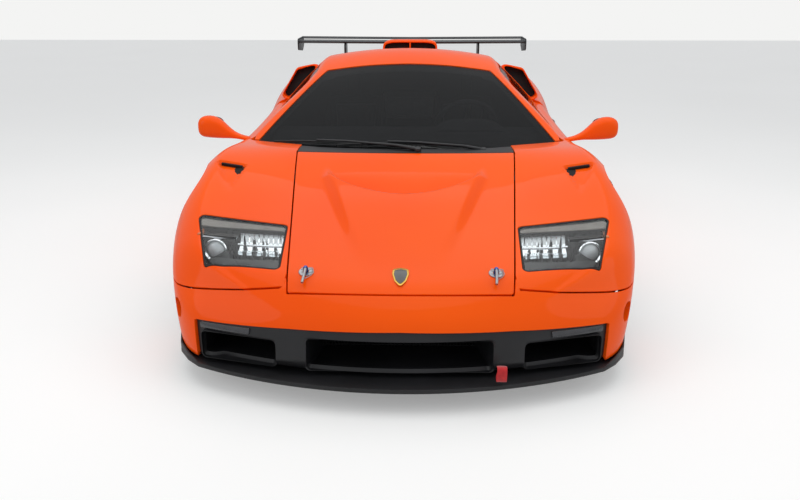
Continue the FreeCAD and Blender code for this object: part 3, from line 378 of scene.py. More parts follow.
def natural_spline(knots, values, at):
    """A natural cubic spline through (knots, values), worked out at many places."""
    knots = np.asarray(knots, float)
    values = np.asarray(values, float)
    gaps = np.diff(knots)
    count = len(knots)
    system = np.eye(count)
    right = np.zeros(count)
    for i in range(1, count - 1):
        system[i, i - 1:i + 2] = (gaps[i - 1], 2 * (gaps[i - 1] + gaps[i]), gaps[i])
        right[i] = 6 * ((values[i + 1] - values[i]) / gaps[i] - (values[i] - values[i - 1]) / gaps[i - 1])
    curve = np.linalg.solve(system, right)
    i = np.clip(np.searchsorted(knots, at) - 1, 0, count - 2)
    left = np.clip(at, knots[0], knots[-1]) - knots[i]
    back = gaps[i] - left
    cubic = (curve[i] * back ** 3 + curve[i + 1] * left ** 3) / (6 * gaps[i])
    first = (values[i] / gaps[i] - curve[i] * gaps[i] / 6) * back
    return cubic + first + (values[i + 1] / gaps[i] - curve[i + 1] * gaps[i] / 6) * left


def bulged(start, end, share, steps=24):
    """Points of an arc from start to end in the section's plane, bulged outwards by a share of its chord."""
    start = np.array(start)
    end = np.array(end)
    t = np.linspace(0, 1, steps)[:, None]
    chord = end - start
    side = np.array([chord[1], -chord[0]])
    return start + chord * t + side * share * 4 * t * (1 - t)


def softened(points, spacing=0.004, sigma=0.016):
    """The same curve with its corners rounded, by a running weighted mean along its length."""
    length = np.concatenate([[0], np.cumsum(np.linalg.norm(np.diff(points, axis=0), axis=1))])
    even = np.arange(0, length[-1], spacing)
    sampled = np.stack([np.interp(even, length, points[:, k]) for k in (0, 1)], axis=1)
    reach = int(3 * sigma / spacing)
    weights = np.exp(-0.5 * (np.arange(-reach, reach + 1) * spacing / sigma) ** 2)
    padded = np.concatenate([sampled[1:reach + 1][::-1] * (-1, 1), sampled,
                             sampled[-reach - 1:-1][::-1] * (-1, 1)])
    return np.stack([np.convolve(padded[:, k], weights / weights.sum(), "valid") for k in (0, 1)], axis=1)


def hull_outline(row):
    bottom_z, bottom_half, side_half, side_z, shoulder_half, shoulder_z, lid_half, lid_z, crown = row
    across = np.linspace(1, 0, 30)[:, None]
    crown_arc = np.hstack([across * lid_half, crown + (lid_z - crown) * across ** 2])
    low = np.hstack([np.linspace(0, bottom_half, 20)[:, None], np.full((20, 1), bottom_z)])
    parts = [low, bulged((bottom_half, bottom_z), (side_half, side_z), 0.02)[1:],
             bulged((side_half, side_z), (shoulder_half, shoulder_z), 0.16)[1:],
             np.linspace((shoulder_half, shoulder_z), (lid_half, lid_z), 12)[1:], crown_arc[1:]]
    return softened(np.vstack(parts))


def cabin_outline(row):
    belt_half, belt_z, rail_half, rail_z, crown = row
    across = np.linspace(1, 0, 40)[:, None]
    crown_arc = np.hstack([across * rail_half, crown + (rail_z - crown) * across ** 2])
    low = np.linspace((0, 0.1), (belt_half, 0.1), 10)
    parts = [low, np.linspace((belt_half, 0.1), (belt_half, belt_z), 20)[1:],
             bulged((belt_half, belt_z), (rail_half, rail_z), 0.03)[1:], crown_arc[1:]]
    return softened(np.vstack(parts), sigma=0.012)


def radius_table(rows, outline):
    """Radii of every section about the spine line, one row for a station and one column for an angle."""
    rows = np.array(rows, float) / 1000
    columns = [natural_spline(rows[:, 0], rows[:, k], STATIONS) for k in range(1, rows.shape[1])]
    spine = np.interp(STATIONS, SPINE_Y, SPINE_Z)
    table = np.zeros((len(STATIONS), len(ANGLES)))
    for i, row in enumerate(zip(*columns)):
        points = outline(row) - (0, spine[i])
        table[i] = np.interp(ANGLES, np.arctan2(points[:, 1], points[:, 0]),
                             np.hypot(points[:, 0], points[:, 1]))
    return table


def distance_table(radii):
    """How fast the radius changes, which turns a radial difference into a distance."""
    by_station, by_angle = np.gradient(radii, STATIONS, ANGLES)
    return np.sqrt(1 + (by_angle / radii) ** 2 + by_station ** 2)


HULL_RADII = radius_table(HULL_ROWS, hull_outline)
CABIN_RADII = radius_table(CABIN_ROWS, cabin_outline)
HULL_STEEPNESS = distance_table(HULL_RADII)
CABIN_STEEPNESS = distance_table(CABIN_RADII)
print("section tables", HULL_RADII.shape, "hull half width", round(float(HULL_RADII.max()), 3))


# %% [markdown]
# A smooth maximum of two distances rounds the edge where they meet, as a panel beater rounds a fold, and a
# smooth minimum fills the valley between two bodies. With them the nose and tail curves, the hull and the
# cabin become one soft form.

# %% Distance functions of the body
NOSE_Y = -2.215
NOSE_RADIUS = 1.9
NOSE_LEAN = ((-0.3, 0.035), (0.11, 0.035), (0.284, 0.065), (0.392, 0.150), (0.9, 0.240), (2.0, 0.240))
TAIL_Y = 2.215
TAIL_RADIUS = 2.6
TAIL_LEAN = ((-0.3, 0.060), (0.42, 0.015), (0.80, 0.060), (2.0, 0.140))


def looked_up(table, y, angle):
    """Bilinear reading of a table by station and angle."""
    row = np.clip((y - STATIONS[0]) / STATION_STEP, 0, len(STATIONS) - 1.001)
    column = np.clip((angle - ANGLES[0]) / (ANGLES[1] - ANGLES[0]), 0, len(ANGLES) - 1.001)
    i = row.astype(int)
    j = column.astype(int)
    u = row - i
    v = column - j
    low = table[i, j] * (1 - v) + table[i, j + 1] * v
    high = table[i + 1, j] * (1 - v) + table[i + 1, j + 1] * v
    return low * (1 - u) + high * u


def about_spine(points, radii, steepness):
    rise = points[:, 2] - np.interp(points[:, 1], SPINE_Y, SPINE_Z)
    across = np.abs(points[:, 0])
    angle = np.arctan2(rise, across)
    beyond = np.hypot(rise, across) - looked_up(radii, points[:, 1], angle)
    return beyond / looked_up(steepness, points[:, 1], angle)


def hull(points):
    return about_spine(points, HULL_RADII, HULL_STEEPNESS)


def cabin(points):
    return about_spine(points, CABIN_RADII, CABIN_STEEPNESS)


def smooth_table(pairs, z):
    """A piecewise line whose corners are rounded over 50 mm."""
    levels, values = np.array(pairs).T
    return sum(np.interp(z + shift, levels, values) for shift in np.linspace(-0.05, 0.05, 11)) / 11


def nose(points):
    plan = np.hypot(points[:, 0], points[:, 1] - (NOSE_Y + NOSE_RADIUS))
    lean = smooth_table(NOSE_LEAN, points[:, 2])
    return np.where(points[:, 1] < -1.2, (plan - (NOSE_RADIUS - lean)) * 0.92, -1.0)


def tail(points):
    plan = np.hypot(points[:, 0], points[:, 1] - (TAIL_Y - TAIL_RADIUS))
    return plan - (TAIL_RADIUS - smooth_table(TAIL_LEAN, points[:, 2]))


def soft_max(a, b, reach):
    overlap = np.maximum(reach - np.abs(a - b), 0) / reach
    return np.maximum(a, b) + overlap * overlap * reach / 4


def soft_min(a, b, reach):
    return -soft_max(-a, -b, reach)


def front_body(points):
    return soft_max(hull(points), nose(points), 0.07)


def side_body(points):
    return soft_min(hull(points), cabin(points), 0.02)


def rear_body(points):
    together = soft_min(hull(points), cabin(points), 0.07)
    return soft_max(together, tail(points), 0.06)


CAST_ROUNDS = 14


def cast(origins, directions, body, reach=1.6):
    """Where rays from inside meet the body's surface, by repeated steps from outside."""
    directions = directions / np.linalg.norm(directions, axis=1, keepdims=True)
    distance = np.full(len(origins), reach)
    step = 1e-4
    for _ in range(CAST_ROUNDS):
        value = body(origins + directions * distance[:, None])
        slope = (body(origins + directions * (distance + step)[:, None]) - value) / step
        distance = distance - np.clip(value / np.clip(slope, 0.25, 3.0), -0.3, 0.6)
        distance = np.clip(distance, 0.02, reach)
    return origins + directions * distance[:, None]


print("distance from the spine to the skin", round(-float(side_body(np.array([[0, 0, 0.5]]))[0]), 3))

# %% [markdown]
# A panel is a fine grid of points on that form, trimmed along its shut lines. Each shut line is a signed
# distance, so trimming leaves an even 5 mm gap. The rim is then rolled over by 2 mm and carried inwards as
# a flange, which gives the edge the thin highlight of folded metal.

# %% Panel maker
PANEL_GAP = 0.005
ROLL = 0.0018


def to_polygon(first, second, outline):
    """Signed distance in a plane to a closed outline, negative inside."""
    corners = np.array(outline, float)
    place = np.stack([first, second], axis=1)
    nearest = np.full(len(place), 1e9)
    inside = np.zeros(len(place), bool)
    for a, b in zip(corners, np.roll(corners, -1, axis=0)):
        edge = b - a
        t = np.clip(((place - a) @ edge) / (edge @ edge), 0, 1)
        nearest = np.minimum(nearest, np.linalg.norm(place - a - t[:, None] * edge, axis=1))
        crosses = (a[1] > place[:, 1]) != (b[1] > place[:, 1])
        with np.errstate(divide="ignore", invalid="ignore"):
            meet = a[0] + (place[:, 1] - a[1]) * edge[0] / edge[1]
        inside ^= crosses & (place[:, 0] < meet)
    return np.where(inside, -nearest, nearest)


def trimmed(points, faces, value):
    """Cut a triangle mesh along value = 0 and keep the side where it is positive."""
    inside = value > 0
    kept = faces[inside[faces].all(axis=1)]
    extra_points = []
    made = {}
    new_faces = []
    crossing = faces[inside[faces].any(axis=1) & ~inside[faces].all(axis=1)]
    base = len(points)

    def between(a, b):
        key = (a, b) if a < b else (b, a)
        if key not in made:
            t = value[key[0]] / (value[key[0]] - value[key[1]])
            extra_points.append(points[key[0]] * (1 - t) + points[key[1]] * t)
            made[key] = base + len(extra_points) - 1
        return made[key]

    for tri in crossing.tolist():
        flags = [bool(inside[v]) for v in tri]
        if sum(flags) == 1:
            k = flags.index(True)
            a, b, c = tri[k], tri[k - 2], tri[k - 1]
            new_faces.append((a, between(a, b), between(a, c)))
        else:
            k = flags.index(False)
            a, b, c = tri[k], tri[k - 2], tri[k - 1]
            ab = between(a, b)
            ac = between(a, c)
            new_faces.append((ab, b, c))
            new_faces.append((ab, c, ac))
    if extra_points:
        points = np.vstack([points, extra_points])
    faces = np.vstack([kept, np.array(new_faces, int).reshape(-1, 3)])
    used, compact = np.unique(faces, return_inverse=True)
    return points[used], compact.reshape(-1, 3)


def grid_faces(rows, columns, flip):
    index = np.arange(rows * columns).reshape(rows, columns)
    a, b = index[:-1, :-1].ravel(), index[1:, :-1].ravel()
    c, d = index[1:, 1:].ravel(), index[:-1, 1:].ravel()
    faces = np.vstack([np.stack([a, b, c], 1), np.stack([a, c, d], 1)])
    return faces[:, ::-1] if flip else faces


def grid_normals(grid):
    along = np.gradient(grid, axis=0)
    over = np.gradient(grid, axis=1)
    normals = np.cross(along, over)
    return normals / np.maximum(np.linalg.norm(normals, axis=2, keepdims=True), 1e-12)


def mesh_piece(name, corners, corner_points, normals, faces, slots, face_slots):
    """A mesh piece whose every face corner names a point and a normal."""
    mesh = bpy.data.meshes.new(name)
    mesh.from_pydata(corners.tolist(), [], corner_points[faces].tolist())
    for material in slots:
        mesh.materials.append(material)
    mesh.polygons.foreach_set("material_index", np.array(face_slots, np.int32))
    mesh.polygons.foreach_set("use_smooth", np.ones(len(faces), bool))
    mesh.normals_split_custom_set(normals[faces].reshape(-1, 3).tolist())
    return new_object(name, mesh)


def seated(piece, side, body, replaced):
    """Let a piece ride on its body in place of CAD nodes."""
    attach(piece, body + side if body in SIDED_BODIES else body)
    nodes = [node + side if side and node + side in frame["nodes"] else node for node in replaced]
    if nodes:
        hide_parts(*nodes)


def panel(name, grid, fields, thickness, body, replaced=(), outward=(0, 0, 1), material=None,
          mirrored=False, shift=None):
    """Trim a grid of points by the fields, roll its rim and close it with an inner sheet.

    Without a material the outer sheet and its rim are painted and the inner sheet is lined."""
    normals = grid_normals(grid).reshape(-1, 3)
    flip = (normals @ np.array(outward, float)).mean() < 0
    normals = -normals if flip else normals
    flat = grid.reshape(-1, 3)
    if shift is not None:
        flat = flat + normals * shift(flat)[:, None]
        normals = grid_normals(flat.reshape(grid.shape)).reshape(-1, 3) * (-1 if flip else 1)
    data = np.hstack([flat, normals])
    faces = grid_faces(grid.shape[0], grid.shape[1], flip)
    for field in fields:
        data, faces = trimmed(data, faces, field(data[:, :3]) - ROLL)
    points = data[:, :3]
    normals = data[:, 3:] / np.linalg.norm(data[:, 3:], axis=1, keepdims=True)
    edges = np.vstack([faces[:, [0, 1]], faces[:, [1, 2]], faces[:, [2, 0]]])
    keys = dict.fromkeys((a, b) for a, b in edges.tolist())
    rim = np.array([(a, b) for a, b in keys if (b, a) not in keys])
    push = np.zeros_like(points)
    along = points[rim[:, 1]] - points[rim[:, 0]]
    sideways = np.cross(along, normals[rim].mean(axis=1))
    for k in (0, 1):
        np.add.at(push, rim[:, k], sideways)
    border = np.unique(rim)
    out = push[border] / np.maximum(np.linalg.norm(push[border], axis=1, keepdims=True), 1e-12)
    depth = thickness(points, normals) if callable(thickness) else np.full(len(points), thickness)
    inner = points - normals * depth[:, None]
    rolled = points[border] + out * ROLL - normals[border] * ROLL
    place = np.full(len(points), -1)
    place[border] = np.arange(len(border))
    n = len(points)
    m = len(border)
    # Corner sets: outer sheet, rolled ring, ring at the flange foot, inner sheet
    inner_ring = inner[border] + out * ROLL
    corners = np.vstack([points, rolled, inner])
    corners[n + m + border] = inner_ring
    corner_points = np.concatenate([np.arange(n), n + np.arange(m), n + m + border, n + m + np.arange(n)])
    corner_normals = np.vstack([normals, out, out, -normals])
    a = rim[:, 0]
    b = rim[:, 1]
    ring_a = n + place[a]
    ring_b = n + place[b]
    foot_a = n + m + place[a]
    foot_b = n + m + place[b]
    quads = [np.stack([b, a, ring_a], 1), np.stack([b, ring_a, ring_b], 1),
             np.stack([ring_b, ring_a, foot_a], 1), np.stack([ring_b, foot_a, foot_b], 1)]
    all_faces = np.vstack([faces] + quads + [faces[:, ::-1] + n + 2 * m])
    face_slots = np.zeros(len(all_faces), int)
    face_slots[-len(faces):] = 1
    slots = [material, material] if material else [PAINT, LINER]
    for sign in ((1, -1) if mirrored else (1,)):
        side = {1: "_left", -1: "_right"}[sign] if mirrored else ""
        flipped = np.array([sign, 1, 1])
        turned = all_faces if sign > 0 else all_faces[:, ::-1]
        piece = mesh_piece(name + side, corners * flipped, corner_points, corner_normals * flipped, turned,
                           slots, face_slots)
        seated(piece, side, body, replaced)
    print(name, "triangles", len(all_faces))


print("gap between panels", PANEL_GAP, "rolled edge", ROLL)

# %% [markdown]
# The shut lines are where the real panels part: a lid with a gently curved front edge, doors whose rear edge
# runs round the hinge so that they can swing up, an arch round each wheel and a seam above the bumper. Each
# line is written once, as a signed distance, so two neighbours share it and their gap stays even.

# %% Shut lines
DOOR_HINGE = (-0.650, 0.705)
DOOR_SWEEP = 1.170
BELT = ((-0.470, 0.745), (0.516, 0.800))
FRONT_AXLE = (-1.185, 0.314)
REAR_AXLE = (1.465, 0.329)
FRONT_ARCH = 0.360
REAR_ARCH = 0.372
SKIRT_TOP = 0.162


def on_sweep(radius, low, high, steps=24):
    """Points of an arc round the door hinge, from one height to another, in side view."""
    heights = np.linspace(low, high, steps)
    return [(DOOR_HINGE[0] + math.sqrt(radius ** 2 - (z - DOOR_HINGE[1]) ** 2), z) for z in heights]


def along_slope(points, foot_y, foot_z, slope):
    """Where each point lies on a sloping plane, seen square to it, as x and y."""
    rise = points[:, 2] - foot_z - (points[:, 1] - foot_y) * slope
    lean = math.atan(slope)
    return points[:, 0], points[:, 1] + math.sin(lean) * rise / (math.cos(lean) + math.sin(lean) * slope)


LID_FRONT = [(x, -2.050 + 0.025 * (x / 0.41) ** 2) for x in np.linspace(-0.41, 0.41, 31)]
LID_OUTLINE = LID_FRONT + [(0.520, -1.0), (-0.520, -1.0)]
ENGINE_LID_OUTLINE = [(-0.5, 0.7), (0.5, 0.7), (0.56, 1.815), (-0.56, 1.815)]
DOOR_OUTLINE = [(-0.645, 0.165)] + on_sweep(DOOR_SWEEP, 0.165, 0.80) + [BELT[0], (-0.645, 0.720)]
WINDOW_OUTLINE = [(-0.455, 0.7462)] + on_sweep(1.145, 0.8003, 1.01) + [(0.110, 1.01)]
SCREEN_OUTLINE = [(-0.79, -0.735), (-0.62, -0.832), (-0.42, -0.905), (-0.2, -0.941), (0, -0.95),
                  (0.2, -0.941), (0.42, -0.905), (0.62, -0.832), (0.79, -0.735), (0.49, 0.015),
                  (0.25, 0.034), (0, 0.04), (-0.25, 0.034), (-0.49, 0.015)]
LAMP_OUTLINE = [(0.452, -1.925), (0.462, -1.638), (0.836, -1.612), (0.757, -1.885)]
LAMP_CORNER = 0.0212
COWL_HALF = 0.526
DUCT_OUTLINE = [(-0.774, 0.258), (-0.4, 0.276), (0, 0.284), (0.4, 0.276), (0.774, 0.258), (0.76, 0.0),
                (-0.76, 0.0)]
SEAM_X = (0, 0.425, 0.430, 0.880, 1.0, 1.4)
SEAM_Z = (0.430, 0.430, 0.394, 0.342, 0.350, 0.350)


def from_lid(p):
    return to_polygon(*along_slope(p, -2.05, 0.40, 0.287), LID_OUTLINE)


def from_engine_lid(p):
    return to_polygon(*along_slope(p, 0.7, 0.85, -0.14), ENGINE_LID_OUTLINE)


def from_door(p):
    return to_polygon(p[:, 1], p[:, 2], DOOR_OUTLINE)


def from_window(p):
    return np.maximum(to_polygon(p[:, 1], p[:, 2], WINDOW_OUTLINE), 0.565 - np.abs(p[:, 0]))


def about_hinge(p, radii, limits):
    """How far each point lies outside a limit on x that depends on its distance from the door hinge."""
    radius = np.hypot(p[:, 1] - DOOR_HINGE[0], p[:, 2] - DOOR_HINGE[1])
    return np.abs(p[:, 0]) - np.interp(radius, radii, limits)


def past_door_limit(p):
    return about_hinge(p, (0, 0.12, 0.20, 0.86), (0.810, 0.803, 0.797, 0.548))


def past_pillar_limit(p):
    return about_hinge(p, (0.150, 0.194, 0.770, 1.2), (0.900, 0.777, 0.560, 0.560))


def from_screen(p):
    return to_polygon(p[:, 0], p[:, 1], SCREEN_OUTLINE)


def drawn_in(outline, by):
    """An outline whose corners are moved towards its middle; less a distance, it gets rounded corners."""
    middle = np.mean(outline, axis=0)
    return [tuple(np.array(c) + (middle - c) / np.linalg.norm(middle - c) * by) for c in outline]


LAMP_INSET = drawn_in(LAMP_OUTLINE, 0.030)


def from_lamp(p):
    return to_polygon(np.abs(p[:, 0]), p[:, 1], LAMP_INSET) - LAMP_CORNER


def from_duct(p):
    return to_polygon(p[:, 0], p[:, 2], DUCT_OUTLINE)


def seam_below(p):
    return np.interp(np.abs(p[:, 0]), SEAM_X, SEAM_Z) - p[:, 2]


def from_arch(p, axle, radius):
    """Distance to a wheel arch, which only opens the side of the body."""
    return np.maximum(np.hypot(p[:, 1] - axle[0], p[:, 2] - axle[1]) - radius, 0.76 - np.abs(p[:, 0]))


def grid_of(first, second, cast_ray):
    """Cast one ray for each pair of the two ranges and give the hits as a grid."""
    a, b = np.meshgrid(first, second, indexing="ij")
    return cast_ray(a.ravel(), b.ravel()).reshape(len(first), len(second), 3)


def spaced(low, high, step):
    return np.linspace(low, high, int(round((high - low) / step)) + 1)


def upward(body, floor_z):
    """Rays straight up from a level, for lids and screens."""
    def cast_ray(x, y):
        origins = np.stack([x, y, np.full(len(x), floor_z)], axis=1)
        return cast(origins, np.tile((0.0, 0.0, 1.0), (len(x), 1)), body, reach=1.0)
    return cast_ray


FAN_LEAN = 0.65
FAN_REACH = 0.45


def fanned(body, axis_x, axis_z, turn_y=-9.0):
    """Rays in a fan about a line along the car; ahead of turn_y the fan also leans forward."""
    def cast_ray(y, degrees):
        ahead = np.minimum(y - turn_y, 0)
        angle = np.radians(degrees)
        origins = np.stack([np.full(len(y), axis_x), y - ahead * FAN_LEAN, np.full(len(y), axis_z)], axis=1)
        directions = np.stack([np.cos(angle), ahead * FAN_LEAN / FAN_REACH, np.sin(angle)], axis=1)
        return cast(origins, directions, body)
    return cast_ray


def end_fan(body, half, start_y, start_z, spread, forward):
    """Rays that fan both sideways and up from a short line across one end of the car."""
    def cast_ray(u, degrees):
        turn = u * math.radians(spread)
        lift = np.radians(degrees)
        origins = np.stack([u * half, np.full(len(u), start_y), np.full(len(u), start_z)], axis=1)
        directions = np.stack([np.sin(turn) * np.cos(lift), forward * np.cos(turn) * np.cos(lift),
                               np.sin(lift)], 1)
        return cast(origins, directions, body)
    return cast_ray


# Half width and y of the line inside the nose that rays fan out from
NOSE_FAN = (0.62, -1.62)


def wall(side, top):
    """Flange depth: deep where the panel faces sideways, shallow where it faces up."""
    return lambda points, normals: top + (side - top) * np.clip(np.abs(normals[:, 0]) * 1.2 - 0.2, 0, 1)


print("door outline points", len(DOOR_OUTLINE), "screen points", len(SCREEN_OUTLINE))

# %% [markdown]
# The front lid carries the car's one sculpted form: a blade-like bulge widens towards the screen and ends in
# a smiling edge, and behind that edge a shallow bowl leads air out of the radiator. Both are heights added
# along the normal before the panel is trimmed, so the shut lines still fit.

# %% Front lid
BOWL_HALF = 0.36


def smooth_step(value, low, high):
    t = np.clip((value - low) / (high - low), 0, 1)
    return t * t * (3 - 2 * t)


def lid_relief(p):
    x = np.abs(p[:, 0])
    y = p[:, 1]
    share = np.clip(x / BOWL_HALF, 0, 1.3)
    edge_y = -1.435 + 0.17 * share ** 1.9
    half = np.interp(y, (-1.90, -1.816, -1.265), (0.150, 0.175, 0.350))
    ridge = 1 - smooth_step(x, half - 0.028, half + 0.032)
    bulge = 0.034 * smooth_step(y, -1.93, -1.45) * ridge
    depth = 0.046 * np.clip(1 - share ** 2.4, 0, 1)
    length = 0.045 + 0.20 * np.clip(1 - share ** 2, 0, 1)
    bowl = -depth * (1 - smooth_step(y, edge_y + 0.010, edge_y + length))
    drop = 0.014 + 0.110 * np.clip(share, 0, 1) ** 4
    return np.where(x < 0.6, bulge + (bowl - bulge) * smooth_step(y, edge_y, edge_y + drop), 0)


LID_GRID = grid_of(spaced(-0.54, 0.54, 0.008), spaced(-2.062, -0.98, 0.007), upward(front_body, 0.15))
panel("front_lid_skin", LID_GRID, [lambda p: -from_lid(p)], 0.030, "front_lid", ["front_lid"],
      shift=lid_relief)

# %% [markdown]
# The wings are one pressing each, from the lid's edge over the crest to the wheel arch. Behind the lamps sit
# triangular vents that let air out of the arches: a tapering hollow that ends in a slot. The hollow is a
# height along the normal again, because a cut would leave a hard edge in the paint.

# %% Front wings
VENT_SLOT_Y = -1.225
VENT_TIP_Y = -1.460


def vent_relief(p):
    x = np.abs(p[:, 0])
    y = p[:, 1]
    back = np.clip((y - VENT_TIP_Y) / (VENT_SLOT_Y - VENT_TIP_Y), 0, 1)
    left = 0.752 - 0.030 * back
    right = 0.756 + 0.090 * back
    within = smooth_step(x, left - 0.006, left + 0.006) * (1 - smooth_step(x, right - 0.006, right + 0.006))
    ends = (1 - smooth_step(y, VENT_SLOT_Y, VENT_SLOT_Y + 0.010)) * (y > VENT_TIP_Y)
    return -0.020 * back ** 1.3 * within * ends


FENDER_FIELDS = [
    lambda p: from_lid(p) - PANEL_GAP,
    lambda p: np.where(p[:, 1] > -1.02, np.abs(p[:, 0]) - COWL_HALF, 0.1),
    lambda p: -0.650 - p[:, 1],
    lambda p: np.where(p[:, 1] > -1.09, cabin(p) - 0.003, 0.1),
    lambda p: np.where(p[:, 1] < -1.36, -seam_below(p) - 0.004, 0.1),
    lambda p: p[:, 2] - SKIRT_TOP,
    lambda p: from_arch(p, FRONT_AXLE, FRONT_ARCH),
    from_lamp,
]
FENDER_GRID = grid_of(spaced(-2.45, -0.64, 0.0080), spaced(-17, 97, 0.95),
                      fanned(front_body, 0.40, 0.28, -1.6))


def fender_wall(points, normals):
    """Flange depth of a wing, shallow round the arch so that the steered tyre passes."""
    beside_arch = 0.012 + 1.5 * np.maximum(from_arch(points, FRONT_AXLE, FRONT_ARCH), 0)
    return np.minimum(wall(0.045, 0.028)(points, normals), beside_arch)


panel("fender_skin", FENDER_GRID, FENDER_FIELDS, fender_wall, "chassis", ["fender"], outward=(1, 0, 1),
      shift=vent_relief, mirrored=True)

# %% [markdown]
# The front bumper wraps round the nose under the seam. Rays fan out from a line inside it, so the corners get
# as many points as the middle. Two oval holes near its ends feed air to the brakes.

# %% Front bumper
BRAKE_HOLE = (0.868, 0.262)


def from_brake_hole(p):
    return (np.hypot((np.abs(p[:, 0]) - BRAKE_HOLE[0]) / 0.7, p[:, 2] - BRAKE_HOLE[1]) - 0.036) * 0.8


BUMPER_FIELDS = [
    seam_below,
    lambda p: from_lid(p) - PANEL_GAP,
    from_duct,
    lambda p: p[:, 2] - 0.1003,
    lambda p: from_arch(p, FRONT_AXLE, FRONT_ARCH),
    lambda p: np.where(p[:, 1] < -1.6, from_brake_hole(p), 0.1),
]
BUMPER_GRID = grid_of(spaced(-1, 1, 0.0066), spaced(-30, 40, 1.1),
                      end_fan(front_body, *NOSE_FAN, 0.27, 105, -1))
panel("front_bumper_skin", BUMPER_GRID, BUMPER_FIELDS, 0.030, "chassis", ["front_bumper"], outward=(0, -1, 0))

# %% [markdown]
# Each door is a single skin from the sill to the glass. Its rear edge is an arc about the hinge. Near the
# hinge its flange stops at a limit turned about the hinge axis, so it passes outside the screen pillar.

# %% Doors
def door_wall(points, normals):
    room = past_door_limit(points) / np.maximum(np.abs(normals[:, 0]), 0.3)
    return np.clip(room, 0.002, wall(0.060, 0.030)(points, normals))


DOOR_GRID = grid_of(spaced(-0.66, 0.54, 0.010), spaced(-38, 62, 1.0), fanned(side_body, 0.45, 0.45))
panel("door_skin", DOOR_GRID, [lambda p: -from_door(p), lambda p: past_door_limit(p) - 0.001], door_wall,
      "door", ["door"], outward=(1, 0, 0.4), mirrored=True)

# %% [markdown]
# The rear wings swell over the wide tyres and flow up into the roof. A soft join between hull and cabin makes
# that valley, where a CAD union would leave a crease.

# %% Rear wings
INTAKE_INSET = drawn_in([(0.590, 0.315), (0.850, 0.335), (0.935, 0.590), (0.690, 0.620)], 0.042)
INTAKE_CORNER = 0.030


def from_intake(p):
    """The side intake ahead of the rear wheel."""
    return to_polygon(p[:, 1], p[:, 2], INTAKE_INSET) - INTAKE_CORNER


QUARTER_FIELDS = [
    lambda p: from_door(p) - PANEL_GAP,
    lambda p: from_window(p) - PANEL_GAP,
    lambda p: from_engine_lid(p) - PANEL_GAP,
    lambda p: np.maximum(np.abs(p[:, 0]) - 0.565, p[:, 1] - 0.696),
    lambda p: p[:, 1] - 0.360,
    lambda p: from_arch(p, REAR_AXLE, REAR_ARCH),
    lambda p: p[:, 2] - SKIRT_TOP,
    lambda p: 1.936 - p[:, 1],
    lambda p: np.maximum(1.815 - p[:, 1], np.abs(p[:, 0]) - 0.569),
    lambda p: np.maximum(from_intake(p), 0.80 - np.abs(p[:, 0])),
]
QUARTER_GRID = grid_of(spaced(0.34, 1.95, 0.012), spaced(-40, 84, 1.0), fanned(rear_body, 0.33, 0.48))
panel("quarter_skin", QUARTER_GRID, QUARTER_FIELDS, wall(0.050, 0.028), "chassis", ["quarter"],
      outward=(1, 0, 0.6), mirrored=True)

# %% [markdown]
# The tail is closed by one bumper panel with a long window for the lamps, a notch for the diffuser and two
# round holes for the exhaust; each hole is one more distance field. The engine lid is cut from the same form,
# by rays from below.

# %% Rear bumper and engine lid
TAIL_WINDOW_Z = 0.6675
EXHAUST = (0.090, 2.200, 0.430)
EXHAUST_ENDS = [(-EXHAUST[0], *EXHAUST[1:]), EXHAUST]


def from_box(a, b, half_a, half_b):
    """Signed distance to a rectangle about the origin of two coordinates."""
    over_a = np.abs(a) - half_a
    over_b = np.abs(b) - half_b
    return np.hypot(np.maximum(over_a, 0), np.maximum(over_b, 0)) + np.minimum(np.maximum(over_a, over_b), 0)


def from_tail_window(p):
    return from_box(p[:, 0], p[:, 2] - TAIL_WINDOW_Z, 0.785, 0.0925) - 0.015


REAR_FIELDS = [
    lambda p: np.maximum(p[:, 1] - 1.940, np.minimum(0.565 - np.abs(p[:, 0]), p[:, 1] - 1.75)),
    lambda p: from_engine_lid(p) - PANEL_GAP,
    from_tail_window,
    lambda p: from_box(p[:, 0], p[:, 2] - 0.10, 0.620, 0.200),
    lambda p: np.hypot(np.abs(p[:, 0]) - EXHAUST[0], p[:, 2] - EXHAUST[2]) - 0.060,
    lambda p: p[:, 2] - 0.195,
]
REAR_GRID = grid_of(spaced(-1, 1, 0.0090), spaced(-48, 66, 1.1), end_fan(rear_body, 0.70, 1.55, 0.52, 62, 1))
panel("rear_bumper_skin", REAR_GRID, REAR_FIELDS, 0.030, "chassis", ["rear_bumper"], outward=(0, 1, 0))
ENGINE_LID_GRID = grid_of(spaced(-0.60, 0.60, 0.013), spaced(0.68, 1.84, 0.013), upward(rear_body, 0.5))
panel("engine_lid_skin", ENGINE_LID_GRID, [lambda p: -from_engine_lid(p)], 0.030, "engine_lid",
      ["engine_lid"])

# %% [markdown]
# The roof and the thin screen pillars are one shell. The glass lies 4 mm below their outer face on its own
# offset surface, so it follows the same curves, and its edge carries the black ceramic band of bonded glass.

# %% Roof, cowl and glass
def beside_cowl(p):
    """Distance outside the cowl's half width, which trims only the foot of the screen."""
    at_foot = (p[:, 1] <= -0.6) & (p[:, 2] < 0.9)
    return np.where(at_foot, np.maximum(np.abs(p[:, 0]) - COWL_HALF, -0.1), 0.1)


